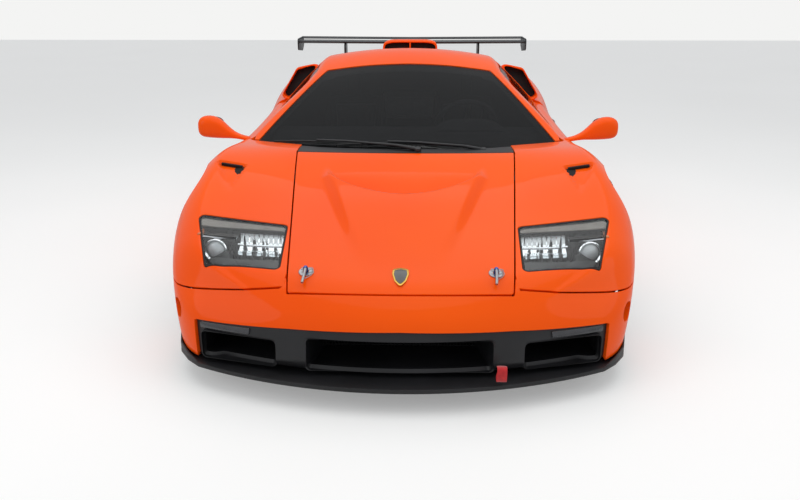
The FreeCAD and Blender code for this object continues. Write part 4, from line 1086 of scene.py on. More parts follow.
ROOF_FIELDS = [
    lambda p: np.maximum(np.hypot(p[:, 1] - DOOR_HINGE[0], p[:, 2] - DOOR_HINGE[1]) - 0.025,
                         0.800 - np.abs(p[:, 0])),
    from_screen,
    lambda p: from_window(p) - PANEL_GAP,
    lambda p: hull(p) - 0.002,
    lambda p: 0.695 - p[:, 1],
    lambda p: np.maximum(0.562 - np.abs(p[:, 0]), 0.11 - p[:, 1]),
    lambda p: -0.8 * past_pillar_limit(p),
    lambda p: np.maximum(from_door(p) - PANEL_GAP, np.minimum(-0.475 - p[:, 1], -0.005 - past_door_limit(p))),
    beside_cowl,
]
ROOF_GRID = grid_of(spaced(-1.0, 0.71, 0.011), spaced(2, 178, 0.8), fanned(cabin, 0.0, 0.44))
panel("cabin_skin", ROOF_GRID, ROOF_FIELDS, 0.034, "chassis", ["cabin_frame"])


SEAL_GRID = grid_of(spaced(-0.50, 0.12, 0.008), spaced(8, 75, 0.7),
                    fanned(lambda p: cabin(p) + 0.020, 0.2, 0.5))
SEAL_FIELDS = [lambda p: past_pillar_limit(p) + 0.040, lambda p: from_window(p) + 0.004,
               lambda p: 0.030 - from_window(p), lambda p: 0.10 - p[:, 1]]
panel("window_seal_channel", SEAL_GRID, SEAL_FIELDS, 0.006, "chassis", outward=(1, 0, 0.5), material=SEAL,
      mirrored=True)


def cowl_body(p):
    return soft_min(hull(p), cabin(p), 0.02)


COWL_GRID = grid_of(spaced(-0.54, 0.54, 0.010), spaced(-1.01, -0.80, 0.008), upward(cowl_body, 0.4))
COWL_FIELDS = [lambda p: from_lid(p) - PANEL_GAP, from_screen, lambda p: COWL_HALF - 0.004 - np.abs(p[:, 0]),
               lambda p: -0.6 - p[:, 1]]
panel("cowl_cover", COWL_GRID, COWL_FIELDS, 0.006, "chassis", material=BLACK)
SCREEN_GRID = grid_of(spaced(-0.80, 0.80, 0.020), spaced(-0.96, 0.05, 0.020),
                      upward(lambda p: cabin(p) + 0.004, 0.5))
panel("windscreen_glass", SCREEN_GRID, [lambda p: -from_screen(p) - 0.0005], 0.005, "chassis", ["windscreen"],
      material=GLASS)
WINDOW_GRID = grid_of(spaced(-0.48, 0.52, 0.012), spaced(8, 60, 0.9),
                      fanned(lambda p: cabin(p) + 0.004, 0.2, 0.5))
CERAMIC = plain_finish("fired_black_ceramic_band", "08080A", "0D0D0F", 0.25, 60, 3)
BAND_GRID = grid_of(spaced(-0.80, 0.80, 0.010), spaced(-0.96, 0.05, 0.010),
                    upward(lambda p: cabin(p) + 0.0095, 0.5))
BAND_FIELDS = [lambda p: -from_screen(p) - 0.001,
               lambda p: from_screen(p) + 0.038 + 0.05 * (p[:, 1] > -0.10)]
panel("windscreen_band", BAND_GRID, BAND_FIELDS, 0.0015, "chassis", material=CERAMIC)
panel("door_glass_pane", WINDOW_GRID, [lambda p: -from_window(p)], 0.005, "door", ["door_glass"],
      outward=(1, 0, 0.5), material=GLASS, mirrored=True)


# %% [markdown]
# The smaller parts are built from a few plain shapes: extruded outlines, turned profiles, tubes along a path
# and lofts through rings. Each list of points and faces is joined, welded, bevelled and shaded with its
# sharp edges kept, so that every part shows the small radii of moulded and machined things.

# %% Shape helpers
BEVEL_FROM = math.radians(35)


def prism(outline, axis, low, high):
    """Extrude a closed outline of two coordinates along an axis, 0, 1 or 2."""
    other = [k for k in (0, 1, 2) if k != axis]
    count = len(outline)
    points = np.zeros((2 * count, 3))
    points[:, other] = np.vstack([outline, outline])
    points[:count, axis] = low
    points[count:, axis] = high
    faces = [list(range(count)), list(range(2 * count - 1, count - 1, -1))]
    faces += [[i, (i + 1) % count, count + (i + 1) % count, count + i] for i in range(count)]
    return points, faces


def brick(x0, x1, y0, y1, z0, z1):
    return prism([(x0, y0), (x1, y0), (x1, y1), (x0, y1)], 2, z0, z1)


def lofted(rings, capped=True):
    """Skin through rings that have the same number of points."""
    count = len(rings[0])
    points = np.vstack(rings)
    faces = []
    for k in range(len(rings) - 1):
        for i in range(count):
            j = (i + 1) % count
            faces.append([k * count + i, k * count + j, (k + 1) * count + j, (k + 1) * count + i])
    if capped:
        faces.append(list(range(count)))
        faces.append(list(range(len(points) - 1, len(points) - 1 - count, -1)))
    return points, faces


def frame_of(direction):
    direction = np.array(direction, float) / np.linalg.norm(direction)
    helper = np.array((0, 0, 1.0)) if abs(direction[2]) < 0.9 else np.array((0, 1.0, 0))
    first = np.cross(helper, direction)
    first /= np.linalg.norm(first)
    return first, np.cross(direction, first), direction


def lathe(profile, centre, direction, steps=48, closed=False):
    """Turn a profile of (radius, distance along the axis) about a line through the centre."""
    first, second, along = frame_of(direction)
    angles = np.linspace(0, 2 * math.pi, steps, endpoint=False)[:, None]
    rings = [np.array(centre) + along * s + r * (np.cos(angles) * first + np.sin(angles) * second)
             for r, s in profile]
    if closed:
        rings.append(rings[0])
    return lofted(rings, capped=not closed)


def tube(path, radius, steps=12):
    """A round bar along a list of points; the radius may differ from point to point."""
    path = np.array(path, float)
    radii = np.broadcast_to(radius, len(path))
    tangents = np.gradient(path, axis=0)
    rings = []
    first = None
    angles = np.linspace(0, 2 * math.pi, steps, endpoint=False)[:, None]
    for place, tangent, size in zip(path, tangents, radii):
        tangent = tangent / np.linalg.norm(tangent)
        first = frame_of(tangent)[0] if first is None else first - tangent * (first @ tangent)
        first = first / np.linalg.norm(first)
        rings.append(place + size * (np.cos(angles) * first + np.sin(angles) * np.cross(tangent, first)))
    return lofted(rings)


def rounded(corners, radius, steps=6):
    """A flat outline with its corners replaced by arcs."""
    corners = np.array(corners, float)
    out = []
    for before, corner, after in zip(np.roll(corners, 1, 0), corners, np.roll(corners, -1, 0)):
        a = (before - corner) / np.linalg.norm(before - corner)
        b = (after - corner) / np.linalg.norm(after - corner)
        reach = min(radius / max(math.tan(math.acos(np.clip(a @ b, -1, 1)) / 2), 0.05),
                    0.48 * np.linalg.norm(before - corner), 0.48 * np.linalg.norm(after - corner))
        start, end = corner + a * reach, corner + b * reach
        for t in np.linspace(0, 1, steps):
            out.append((1 - t) ** 2 * start + 2 * t * (1 - t) * corner + t ** 2 * end)
    return np.array(out)


def moved(shape, turn=None, place=(0, 0, 0), size=(1, 1, 1)):
    points, faces = shape
    points = np.array(points) * size
    if turn is not None:
        points = points @ np.array(turn.to_matrix()).T
    return points + np.array(place), faces


def joined(shapes):
    points = []
    faces = []
    for own_points, own_faces in shapes:
        faces += [[v + len(points) for v in face] for face in own_faces]
        points += list(map(tuple, own_points))
    return points, faces


def flipped_x(shape):
    points, faces = shape
    return np.array(points) * (-1, 1, 1), [face[::-1] for face in faces]


def welded(mesh):
    """Weld the points of a mesh and turn its faces outward."""
    work = bmesh.new()
    work.from_mesh(mesh)
    bmesh.ops.remove_doubles(work, verts=work.verts, dist=1e-6)
    bmesh.ops.recalc_face_normals(work, faces=work.faces)
    work.to_mesh(mesh)
    work.free()


def shaded(mesh, sharp_degrees):
    """Shade a mesh smooth, apart from the edges that are sharper than an angle."""
    work = bmesh.new()
    work.from_mesh(mesh)
    for face in work.faces:
        face.smooth = True
    for edge in work.edges:
        edge.smooth = len(edge.link_faces) != 2 or edge.calc_face_angle(0) < math.radians(sharp_degrees)
    work.to_mesh(mesh)
    work.free()


def part(name, shapes, material, body, replaced=(), bevel=0.0, smooth=0, mirrored=False,
         sharp=35):
    """Join shapes into one piece with welded points, outward faces, a bevel and sharp edges kept."""
    for sign in ((1, -1) if mirrored else (1,)):
        side = {1: "_left", -1: "_right"}[sign] if mirrored else ""
        points, faces = joined([shape if sign > 0 else flipped_x(shape) for shape in shapes])
        mesh = bpy.data.meshes.new(name + side)
        mesh.from_pydata(points, [], faces)
        welded(mesh)
        piece = new_object(name + side, mesh)
        if bevel:
            with_modifier(piece, "BEVEL", width=bevel, segments=2, limit_method="ANGLE",
                          angle_limit=BEVEL_FROM)
        if smooth:
            with_modifier(piece, "SUBSURF", levels=smooth, render_levels=smooth)
        if bevel or smooth:
            settle(piece)
        shaded(piece.data, sharp)
        piece.data.materials.clear()
        piece.data.materials.append(material)
        seated(piece, side, body, replaced)
    print(name, "faces", len(piece.data.polygons))


def hit_of(start, direction, body, reach=1.6):
    """Where one ray from inside meets a body."""
    return cast(np.array([start], float), np.array([direction], float), body, reach)[0]


def skin_z(x, y, body=front_body, start=0.15):
    """Height of a body's upper face at one place."""
    return float(hit_of((x, y, start), (0, 0, 1), body, 1.2)[2])


def deck_z(x, y):
    return skin_z(x, y, rear_body, 0.6)


print("skin height at the middle of the lid", round(skin_z(0, -1.5), 3))

# %% [markdown]
# What repeats many times, such as a wire, a tread block or a slat, is laid out by a Geometry Nodes tree with
# named inputs. Each tree ends by realizing its instances and setting their material, and its result is
# turned into plain mesh at once, because an export drops instances.

# %% Geometry Nodes helpers
SOCKET_KINDS = {float: "NodeSocketFloat", int: "NodeSocketInt", tuple: "NodeSocketVector"}


def node_group(name, **inputs):
    """A tree with named inputs and their defaults, then a Material input, and its input sockets."""
    tree = bpy.data.node_groups.new(name, "GeometryNodeTree")
    tree.interface.new_socket("Geometry", in_out="OUTPUT", socket_type="NodeSocketGeometry")
    for label, default in inputs.items():
        socket = tree.interface.new_socket(label, in_out="INPUT", socket_type=SOCKET_KINDS[type(default)])
        socket.default_value = default
    tree.interface.new_socket("Material", in_out="INPUT", socket_type="NodeSocketMaterial")
    return tree, add_node(tree, "NodeGroupInput").outputs


def output(tree, kind, values=(), links=(), **settings):
    """The first output of a new node."""
    return add_node(tree, kind, values, links, **settings).outputs[0]


def ended(tree, ins, geometry):
    """Realize the instances, set the material and link the result to the tree's output."""
    real = output(tree, "GeometryNodeRealizeInstances", links=[("Geometry", geometry)])
    painted = output(tree, "GeometryNodeSetMaterial", links=[("Geometry", real),
                                                             ("Material", ins["Material"])])
    add_node(tree, "NodeGroupOutput", links=[("Geometry", painted)])
    return tree


def from_nodes(tree, **values):
    """Evaluate a tree with its named inputs and give the plain mesh."""
    carrier = new_object("carrier", bpy.data.meshes.new("carrier"))
    modifier = with_modifier(carrier, "NODES", node_group=tree)
    for socket in tree.interface.items_tree:
        if socket.in_out == "INPUT" and socket.name in values:
            modifier[socket.identifier] = values[socket.name]
    settle(carrier)
    made = carrier.data
    bpy.data.objects.remove(carrier)
    return made


def mesh_shape(mesh):
    return np.array([tuple(v.co) for v in mesh.vertices]), [list(face.vertices) for face in mesh.polygons]


print("socket kinds", sorted(SOCKET_KINDS.values()))

# %% [markdown]
# A fixed headlamp is a deep black tray under a clear cover that follows the wing. Inboard sits a wide
# reflector with a bright rib, outboard a round projector under a chromed brow, and a thin rubber seal frames
# the opening. The cover is a panel of the body form, so its outline and curve fit the hole exactly.


def lamp_sheet(name, depth, fields, thickness, material, step=0.006):
    """A sheet in the lamp's window, a depth below the skin of the wing."""
    grid = grid_of(spaced(0.42, 0.86, step), spaced(-1.96, -1.58, step),
                   upward(lambda p: front_body(p) + depth, 0.15))
    panel(name, grid, fields, thickness, "chassis", material=material, mirrored=True)


lamp_sheet("headlamp_cover_glass", 0.003, [lambda p: -from_lamp(p) - 0.0065], 0.003, LENS)
lamp_sheet("headlamp_seal", 0.0015, [lambda p: -from_lamp(p) - 0.001, lambda p: from_lamp(p) + 0.0085],
           0.012, SEAL)
lamp_sheet("headlamp_back_band", 0.010, [lambda p: -from_lamp(p) - 0.009, lambda p: p[:, 1] + 1.667], 0.004,
           plain_finish("sprayed_grey_lamp_mask", "77706A", "857E77", 0.5, 60, 3))
lamp_sheet("headlamp_tray", 0.085, [lambda p: -from_lamp(p) - 0.004], 0.004, BLACK, step=0.012)
lamp_sheet("headlamp_shelf", 0.026, [lambda p: -from_lamp(p) - 0.008, lambda p: -1.835 - p[:, 1]], 0.004,
           BLACK)

WALL_POINTS = rounded([(0.458, -1.915), (0.466, -1.645), (0.829, -1.620), (0.752, -1.878)], 0.018)
wall_rings = [np.array([(x, y, skin_z(x, y) - drop) for x, y in WALL_POINTS]) for drop in (0.006, 0.090)]
inner_rings = [ring + (np.array([0.645, -1.77, 0]) - ring * (1, 1, 0)) * 0.012 for ring in wall_rings[::-1]]
part("headlamp_wall", [lofted(wall_rings + inner_rings + wall_rings[:1], capped=False)], BLACK, "chassis",
     mirrored=True)


def reflector_rings(x0, x1, y_back, depth, height, ribs):
    """A ribbed trough that opens forward, as lines across the lamp."""
    rings = []
    for t in np.linspace(0, 1, 15):
        angle = t * math.pi / 2
        line = []
        for k, x in enumerate(np.linspace(x0, x1, ribs * 6 + 1)):
            ripple = 0.0016 * math.cos(k * math.pi / 3)
            y = y_back - depth * (1 - math.cos(angle)) - ripple
            line.append((x, y, skin_z(x, y_back) - 0.016 - height * math.sin(angle)))
        rings.append(np.array(line))
    return rings


def strip(lines, thickness):
    """A thin sheet through lines of points, with a back face and closed edges."""
    rings = [np.vstack([line, line[::-1] + np.array(thickness)]) for line in lines]
    points, faces = lofted(rings, capped=False)
    count = len(rings[0])
    for base in (0, (len(rings) - 1) * count):
        for k in range(count // 2 - 1):
            faces.append([base + k, base + k + 1, base + count - 2 - k, base + count - 1 - k])
    return points, faces


part("headlamp_reflector", [strip(reflector_rings(0.474, 0.648, -1.690, 0.085, 0.062, 9),
                                  (0, 0.003, -0.003))], CHROME, "chassis", ["headlamps", "headlamp_covers"],
     mirrored=True, sharp=60)
RIB = [(x, -1.742 - 0.006 * math.sin((x - 0.474) / 0.174 * math.pi), skin_z(x, -1.742) - 0.030)
       for x in np.linspace(0.474, 0.650, 20)]
part("headlamp_bright_rib", [tube(RIB, 0.0055)], CHROME, "chassis", mirrored=True)
BROW = [(x, -1.700 + 0.02 * (x - 0.650), skin_z(x, -1.700) - 0.018 + 0.02 * (x - 0.65))
        for x in np.linspace(0.655, 0.788, 16)]
part("headlamp_brow", [strip([np.array(BROW) + (0, -0.016 * t, -0.004 * math.sin(t * 3)) for t in range(4)],
                             (0, 0, -0.003))], CHROME, "chassis", mirrored=True)
PROJECTOR = (0.735, -1.752, skin_z(0.735, -1.752) - 0.050)
PROJECTOR_AIM = (0.04, -1.0, 0.12)
part("headlamp_projector_ring", [lathe([(0.047, -0.03), (0.047, 0.012), (0.043, 0.016), (0.037, 0.010),
                                        (0.037, -0.03)], PROJECTOR, PROJECTOR_AIM, closed=True)], CHROME,
     "chassis", mirrored=True)
BALL = [(0.036 * math.cos(t), 0.020 * math.sin(t)) for t in np.linspace(0, math.pi / 2 - 0.05, 10)]
part("headlamp_projector_glass", [lathe([(0.0365, -0.02)] + BALL, PROJECTOR, PROJECTOR_AIM)], WHITE_LENS,
     "chassis", mirrored=True)
LENS_BAR = [(0.478, -1.800), (0.640, -1.792), (0.640, -1.785), (0.478, -1.793)]
part("headlamp_inner_lens", [prism(rounded(LENS_BAR, 0.002, 3), 2, 0.405, 0.462)], LENS, "chassis",
     mirrored=True)
part("headlamp_side_marker", [moved(brick(-0.006, 0.006, -0.035, 0.035, -0.014, 0.014),
                                    place=(0.806, -1.700, skin_z(0.806, -1.70) - 0.022))], AMBER_LENS,
     "chassis", bevel=0.003, mirrored=True)

# %% [markdown]
# Under the bumper's lip a satin black insert carries three air openings. It is another panel of the nose
# form, set 12 mm in, with rounded holes; short ducts lead back from them to a mesh.

# %% Nose insert and ducts
HOLE_CORNER = 0.02
OPENINGS = [(-0.335, 0.335, 0.122, 0.246), (0.450, 0.742, 0.120, 0.226), (-0.742, -0.450, 0.120, 0.226)]


def from_openings(p):
    nearest = np.full(len(p), 1e9)
    for x0, x1, z0, z1 in OPENINGS:
        gap = from_box(p[:, 0] - (x0 + x1) / 2, p[:, 2] - (z0 + z1) / 2, (x1 - x0) / 2 - HOLE_CORNER,
                       (z1 - z0) / 2 - HOLE_CORNER)
        nearest = np.minimum(nearest, gap - HOLE_CORNER)
    return nearest


INSERT_GRID = grid_of(spaced(-1, 1, 0.0070), spaced(-26, 12, 1.0),
                      end_fan(lambda p: front_body(p) + 0.012, *NOSE_FAN, 0.22, 62, -1))
panel("nose_insert", INSERT_GRID, [lambda p: -from_duct(p) - 0.0005, lambda p: p[:, 2] - 0.1005,
                                   from_openings], 0.016, "chassis", ["front_duct"], outward=(0, -1, 0),
      material=BLACK)


def nose_y(x, z):
    """Where the nose stands at a place in front view."""
    return float(hit_of((x * 0.6, NOSE_FAN[1], z), (x * 0.4, -0.5, 0), front_body)[1])


ducts = []
for x0, x1, z0, z1 in OPENINGS:
    outline = rounded([(x0, z0), (x1, z0), (x1, z1), (x0, z1)], HOLE_CORNER)
    middle = np.array([(x0 + x1) / 2, (z0 + z1) / 2])
    rings = []
    for back, shrink in ((0.020, 1.0), (0.12, 0.94), (0.26, 0.85)):
        rings.append(np.array([(*(middle + (point - middle) * shrink), nose_y(point[0], 0.18) + back)
                               for point in outline])[:, [0, 2, 1]])
    outer = [ring + (np.array([middle[0], 0, middle[1]]) - ring * (1, 0, 1)) * -0.02 for ring in rings[::-1]]
    ducts.append(lofted(rings + outer + rings[:1], capped=False))
part("nose_ducts", ducts, BLACK, "chassis", sharp=50)

INDICATOR_GRID = grid_of(spaced(0.48, 1, 0.008), spaced(-12, 10, 0.8),
                         end_fan(lambda p: front_body(p) + 0.006, *NOSE_FAN, 0.22, 62, -1))
SMOKED_LENS = plain_finish("smoked_acrylic_lens", "2A2A2E", "35353A", 0.1, 30, 3, coat_weight=1.0)


def from_indicator(p):
    return from_box(p[:, 0] - 0.612, p[:, 2] - 0.2455 + (p[:, 0] - 0.612) * 0.03, 0.136, 0.0075) - 0.004


panel("front_indicator_lens", INDICATOR_GRID, [lambda p: -from_indicator(p)], 0.010, "chassis",
      outward=(0, -1, 0), material=SMOKED_LENS, mirrored=True)

# %% [markdown]
# The mesh behind each opening is a grid of short wires both ways, spaced by the tree's pitch. Real wires keep
# their depth in a close view, where a picture of a mesh would look flat.

# %% Mesh grilles
def grille_tree():
    tree, ins = node_group("wire_grille", Width=0.3, Height=0.1, Pitch=0.012, Wire=0.0012)

    def both_ends(length, axis):
        """Two places half a length to either side of the middle, along an axis."""
        places = []
        for share in (-0.5, 0.5):
            reach = output(tree, "ShaderNodeMath", [(1, share)], [(0, length)], operation="MULTIPLY")
            places.append(output(tree, "ShaderNodeCombineXYZ", links=[(axis, reach)]))
        return places

    both = add_node(tree, "GeometryNodeJoinGeometry")
    for length, spread, turn in ((ins["Width"], ins["Height"], 0.0),
                                 (ins["Height"], ins["Width"], math.pi / 2)):
        start, end = both_ends(length, "X")
        bar = output(tree, "GeometryNodeCurvePrimitiveLine", links=[("Start", start), ("End", end)])
        section = output(tree, "GeometryNodeCurvePrimitiveCircle", [("Resolution", 6)],
                         [("Radius", ins["Wire"])])
        wire = output(tree, "GeometryNodeCurveToMesh", [("Fill Caps", True)],
                      [("Curve", bar), ("Profile Curve", section)])
        share = output(tree, "ShaderNodeMath", links=[(0, spread), (1, ins["Pitch"])], operation="DIVIDE")
        whole = output(tree, "ShaderNodeMath", links=[(0, share)], operation="FLOOR")
        count = output(tree, "ShaderNodeMath", [(1, 1.0)], [(0, whole)], operation="ADD")
        first, last = both_ends(spread, "Y")
        line = output(tree, "GeometryNodeMeshLine", mode="END_POINTS",
                      links=[("Count", count), ("Start Location", first), ("Offset", last)])
        laid = output(tree, "GeometryNodeInstanceOnPoints", links=[("Points", line), ("Instance", wire)])
        turned = output(tree, "GeometryNodeTransform", [("Rotation", (0, 0, turn))], [("Geometry", laid)])
        tree.links.new(turned, both.inputs[0])
    return ended(tree, ins, both.outputs[0])


GRILLE = grille_tree()


def grille(name, width, height, place, turn=0.0):
    """One flat upright grille that faces forward, turned about the vertical."""
    mesh = from_nodes(GRILLE, Width=width, Height=height, Pitch=0.012, Wire=0.0013, Material=BLACK)
    upright = Matrix.Rotation(math.pi / 2, 4, "X")
    mesh.transform(Matrix.Translation(place) @ Matrix.Rotation(turn, 4, "Z") @ upright)
    seated(new_object(name, mesh), "", "chassis", ())
    print(name, "faces", len(mesh.polygons))


grille("duct_mesh_centre", 0.60, 0.12, (0, -1.93, 0.184))
grille("duct_mesh_left", 0.27, 0.11, (0.585, -1.79, 0.175), 0.35)
grille("duct_mesh_right", 0.27, 0.11, (-0.585, -1.79, 0.175), -0.35)

# %% [markdown]
# The splitter is a flat blade whose ends turn up beside the bumper. The tow strap is a folded loop of red
# webbing, and the lid carries two pins with spring clips and a bare enamelled shield in a gilt rim. The strap
# has only a few folds and is smoothed by subdivision, because webbing bends in soft curves.

# %% Splitter, strap, lid pins and shield
SPLITTER_SIDE = [(0.815, -1.975), (0.862, -1.905), (0.893, -1.80), (0.915, -1.68), (0.922, -1.562)]
splitter = [(x, -0.575 - math.sqrt(1.640 ** 2 - x * x)) for x in np.linspace(-0.76, 0.76, 40)]
splitter += SPLITTER_SIDE + [(-x, y) for x, y in SPLITTER_SIDE[::-1]]
part("splitter_blade", [prism(splitter, 2, 0.082, 0.099)], BLACK, "chassis", ["front_splitter"], bevel=0.003)
fence = []
for k, (x, y) in enumerate([(0.770, -2.018)] + SPLITTER_SIDE):
    top = 0.100 + 0.052 * (k / len(SPLITTER_SIDE)) ** 0.7
    fence.append(np.array([(x - 0.001, y, 0.097), (x - 0.001, y, top), (x - 0.007, y + 0.003, top),
                           (x - 0.012, y + 0.004, 0.097)]))
part("splitter_fence", [lofted(fence)], BLACK, "chassis", bevel=0.001, mirrored=True)

STRAP_X = 0.359
STRAP_HALF = 0.019
STRAP_PATH = [(-2.150, 0.165), (-2.178, 0.178), (-2.196, 0.182), (-2.203, 0.165), (-2.201, 0.135),
              (-2.190, 0.118), (-2.172, 0.122), (-2.160, 0.150)]
strap_sheet = strip([np.array([(STRAP_X - STRAP_HALF, y, z), (STRAP_X + STRAP_HALF, y, z)])
                     for y, z in STRAP_PATH], (0, 0.0025, -0.001))
part("tow_strap_loop", [strap_sheet], STRAP, "chassis", ["tow_strap"], smooth=2, sharp=80)
LID_LEAN = Matrix.Rotation(0.28, 3, "X").to_quaternion()


def on_lid(shape, x, y, lift=0.0):
    """Stand a shape made at the origin on the lid's face."""
    return moved(shape, LID_LEAN, (x, y, skin_z(x, y) + lift))


PIN_Y = -1.940
UPRIGHT_AXIS = ((0, 0, 0), (0, 0, 1))
PIN_PLATE = [(0.0270, 0), (0.0270, 0.0030), (0.0250, 0.0045), (0.0120, 0.0045), (0.0120, 0)]
PIN = [(0.0090, 0), (0.0090, 0.020), (0.0065, 0.025)]
# Path, radius and sides of the spring clip, its cord and its handle
CLIP_WIRES = [
    ([(-0.018, 0.0, 0.011), (0.016, 0.0, 0.011), (0.024, 0.004, 0.010), (0.026, 0.011, 0.009),
      (0.020, 0.017, 0.008), (0.004, 0.014, 0.008), (-0.018, 0.018, 0.008)], 0.0016, 8),
    ([(0.026, 0.008, 0.008), (0.030, -0.008, 0.004), (0.022, -0.024, 0.0025), (0.010, -0.036, 0.0025),
      (0.002, -0.046, 0.003)], 0.0014, 8),
    ([(0, 0, 0.020), (0, -0.022, 0.017), (-0.004, -0.075, 0.007)], 0.0055, 10),
]


PIN_PLACES = [(-0.352, PIN_Y), (0.352, PIN_Y)]
ring_parts = [on_lid(lathe(PIN_PLATE, *UPRIGHT_AXIS, closed=True), x, y, -0.0005) for x, y in PIN_PLACES]
pin_parts = [on_lid(lathe(PIN, *UPRIGHT_AXIS, 24), x, y) for x, y in PIN_PLACES]
clip_parts = [on_lid(tube(*wire), x, y) for x, y in PIN_PLACES for wire in CLIP_WIRES]
part("lid_pin_plates", ring_parts, STEEL, "front_lid")
part("lid_pins", pin_parts, BLUE_PIN, "front_lid")
part("lid_pin_clips", clip_parts, STEEL, "front_lid")
# A bare rounded shield, as long along the slope as it needs to be to look upright from the front
SHIELD = [(-0.029, 0.050), (0.0, 0.058), (0.029, 0.050), (0.031, 0.020), (0.022, -0.022), (0.0, -0.058),
          (-0.022, -0.022), (-0.031, 0.020)]
face = prism(rounded(SHIELD, 0.012), 2, -0.001, 0.0050)
inner = prism(rounded([(x * 0.80, y * 0.82) for x, y in SHIELD], 0.010), 2, 0.0045, 0.0064)
part("lid_shield_rim", [on_lid(face, 0, -1.972)], GOLD, "front_lid", bevel=0.001)
part("lid_shield_bare", [on_lid(inner, 0, -1.972)], BARE_BADGE, "front_lid", bevel=0.0006)


# %% [markdown]
# The mirrors grow out of the doors as one teardrop each: rings of a soft rectangle swell along a short arm
# and close in a round end. The back is cut flat for the glass. One step of subdivision rounds the few rings,
# which keeps the shape easy to change.

# %% Mirrors
SQUARENESS = 2.6


def soft_ring(centre, half_a, half_b, axis):
    """A rounded rectangle of points about a centre, square to an axis."""
    angles = np.linspace(0, 2 * math.pi, 32, endpoint=False)
    a = half_a * np.sign(np.cos(angles)) * np.abs(np.cos(angles)) ** (2 / SQUARENESS)
    b = half_b * np.sign(np.sin(angles)) * np.abs(np.sin(angles)) ** (2 / SQUARENESS)
    ring = np.zeros((len(angles), 3))
    first, second = [k for k in (0, 1, 2) if k != axis]
    ring[:, first] = a
    ring[:, second] = b
    return ring + np.array(centre)


# Columns: x, y of the middle, z of the middle, half depth, half height
MIRROR_RINGS = [(0.835, -0.605, 0.700, 0.030, 0.010), (0.870, -0.606, 0.705, 0.026, 0.011),
                (0.905, -0.607, 0.714, 0.025, 0.014), (0.940, -0.606, 0.727, 0.030, 0.024),
                (0.970, -0.602, 0.742, 0.038, 0.040), (1.000, -0.598, 0.755, 0.046, 0.053),
                (1.035, -0.595, 0.762, 0.051, 0.059), (1.070, -0.595, 0.764, 0.051, 0.058),
                (1.092, -0.596, 0.763, 0.047, 0.053), (1.107, -0.597, 0.762, 0.037, 0.042),
                (1.114, -0.598, 0.761, 0.021, 0.024)]
mirror_rings = []
for x, y, z, half_y, half_z in MIRROR_RINGS:
    ring = soft_ring((x, y, z), half_y, half_z, 0)
    ring[:, 1] = np.minimum(ring[:, 1], -0.556)
    mirror_rings.append(ring)
part("mirror_head", [lofted(mirror_rings)], PAINT, "door", ["mirror"], smooth=1, mirrored=True, sharp=50)
GLASS_RING = soft_ring((1.045, -0.553, 0.762), 0.056, 0.045, 1)
part("mirror_glass", [lofted([GLASS_RING, GLASS_RING + (0, -0.008, 0)])], CHROME, "door", mirrored=True)
RIM_RING = soft_ring((1.045, -0.5535, 0.762), 0.060, 0.049, 1)
part("mirror_seal", [lofted([RIM_RING, RIM_RING + (0, -0.006, 0)])], SEAL, "door", bevel=0.001, mirrored=True)

# %% [markdown]
# The shoulder intakes are hollow pods with a thick rolled lip. Outer rings run back into the body, the lip
# turns through a half circle, and inner rings lead to a throat of dark liner, which is painted shade for the
# shadowed orange inside of the duct. One loft through all the painted rings leaves no seam at the lip.

# %% Shoulder intakes
# Columns: y, then x and z of the upper inner, upper outer, lower outer and lower inner corner
POD_ROWS = [
    (0.530, 0.590, 1.020, 0.765, 0.985, 0.872, 0.800, 0.820, 0.770),
    (0.650, 0.598, 1.012, 0.775, 0.977, 0.882, 0.806, 0.826, 0.774),
    (0.800, 0.608, 1.001, 0.788, 0.966, 0.893, 0.817, 0.834, 0.781),
    (0.950, 0.620, 0.990, 0.800, 0.950, 0.904, 0.828, 0.840, 0.788),
    (1.200, 0.655, 0.952, 0.814, 0.928, 0.914, 0.836, 0.845, 0.794),
    (1.440, 0.690, 0.920, 0.828, 0.902, 0.924, 0.844, 0.850, 0.799),
]


def pod_ring(row, inset=0.0, shift_y=0.0):
    corners = [(row[k], row[k + 1]) for k in (1, 3, 5, 7)]
    ring = rounded(corners, 0.045, 8)
    middle = ring.mean(axis=0)
    inward = middle - ring
    ring = ring + inward / np.linalg.norm(inward, axis=1)[:, None] * inset
    lean = (ring[:, 1] - 0.89) * 0.35
    return np.stack([ring[:, 0], row[0] + shift_y + lean * (1 - smooth_step(row[0], 0.53, 0.95)),
                     ring[:, 1]], axis=1)


lip = []
for angle in np.linspace(math.pi / 2, -math.pi / 2, 9):
    lip.append(pod_ring(POD_ROWS[0], 0.009 - 0.009 * math.sin(angle), 0.009 - 0.009 * math.cos(angle)))
shell = [pod_ring(row) for row in POD_ROWS[:0:-1]] + lip + [pod_ring(POD_ROWS[0], 0.018, 0.060)]
part("shoulder_pod", [lofted(shell, capped=False)], PAINT, "chassis", mirrored=True, sharp=50)
# Painted shade: the dark liner throat stands for the shade inside the orange duct.
throat = [pod_ring(POD_ROWS[0], 0.018, 0.055), pod_ring(POD_ROWS[1], 0.022), pod_ring(POD_ROWS[2], 0.030)]
part("shoulder_throat_painted_shade", [lofted(throat + [throat[-1] * (1, 0, 1) + (0, 0.84, 0)])], LINER, "chassis",
     mirrored=True)

# %% [markdown]
# The rear wing is laid-up carbon: one wing section drawn across the car, with a raised lip at its rear edge,
# flat end plates and two uprights that stand on the deck. The section comes from the usual airfoil formula,
# which needs only a few numbers and gives the thin rear edge.

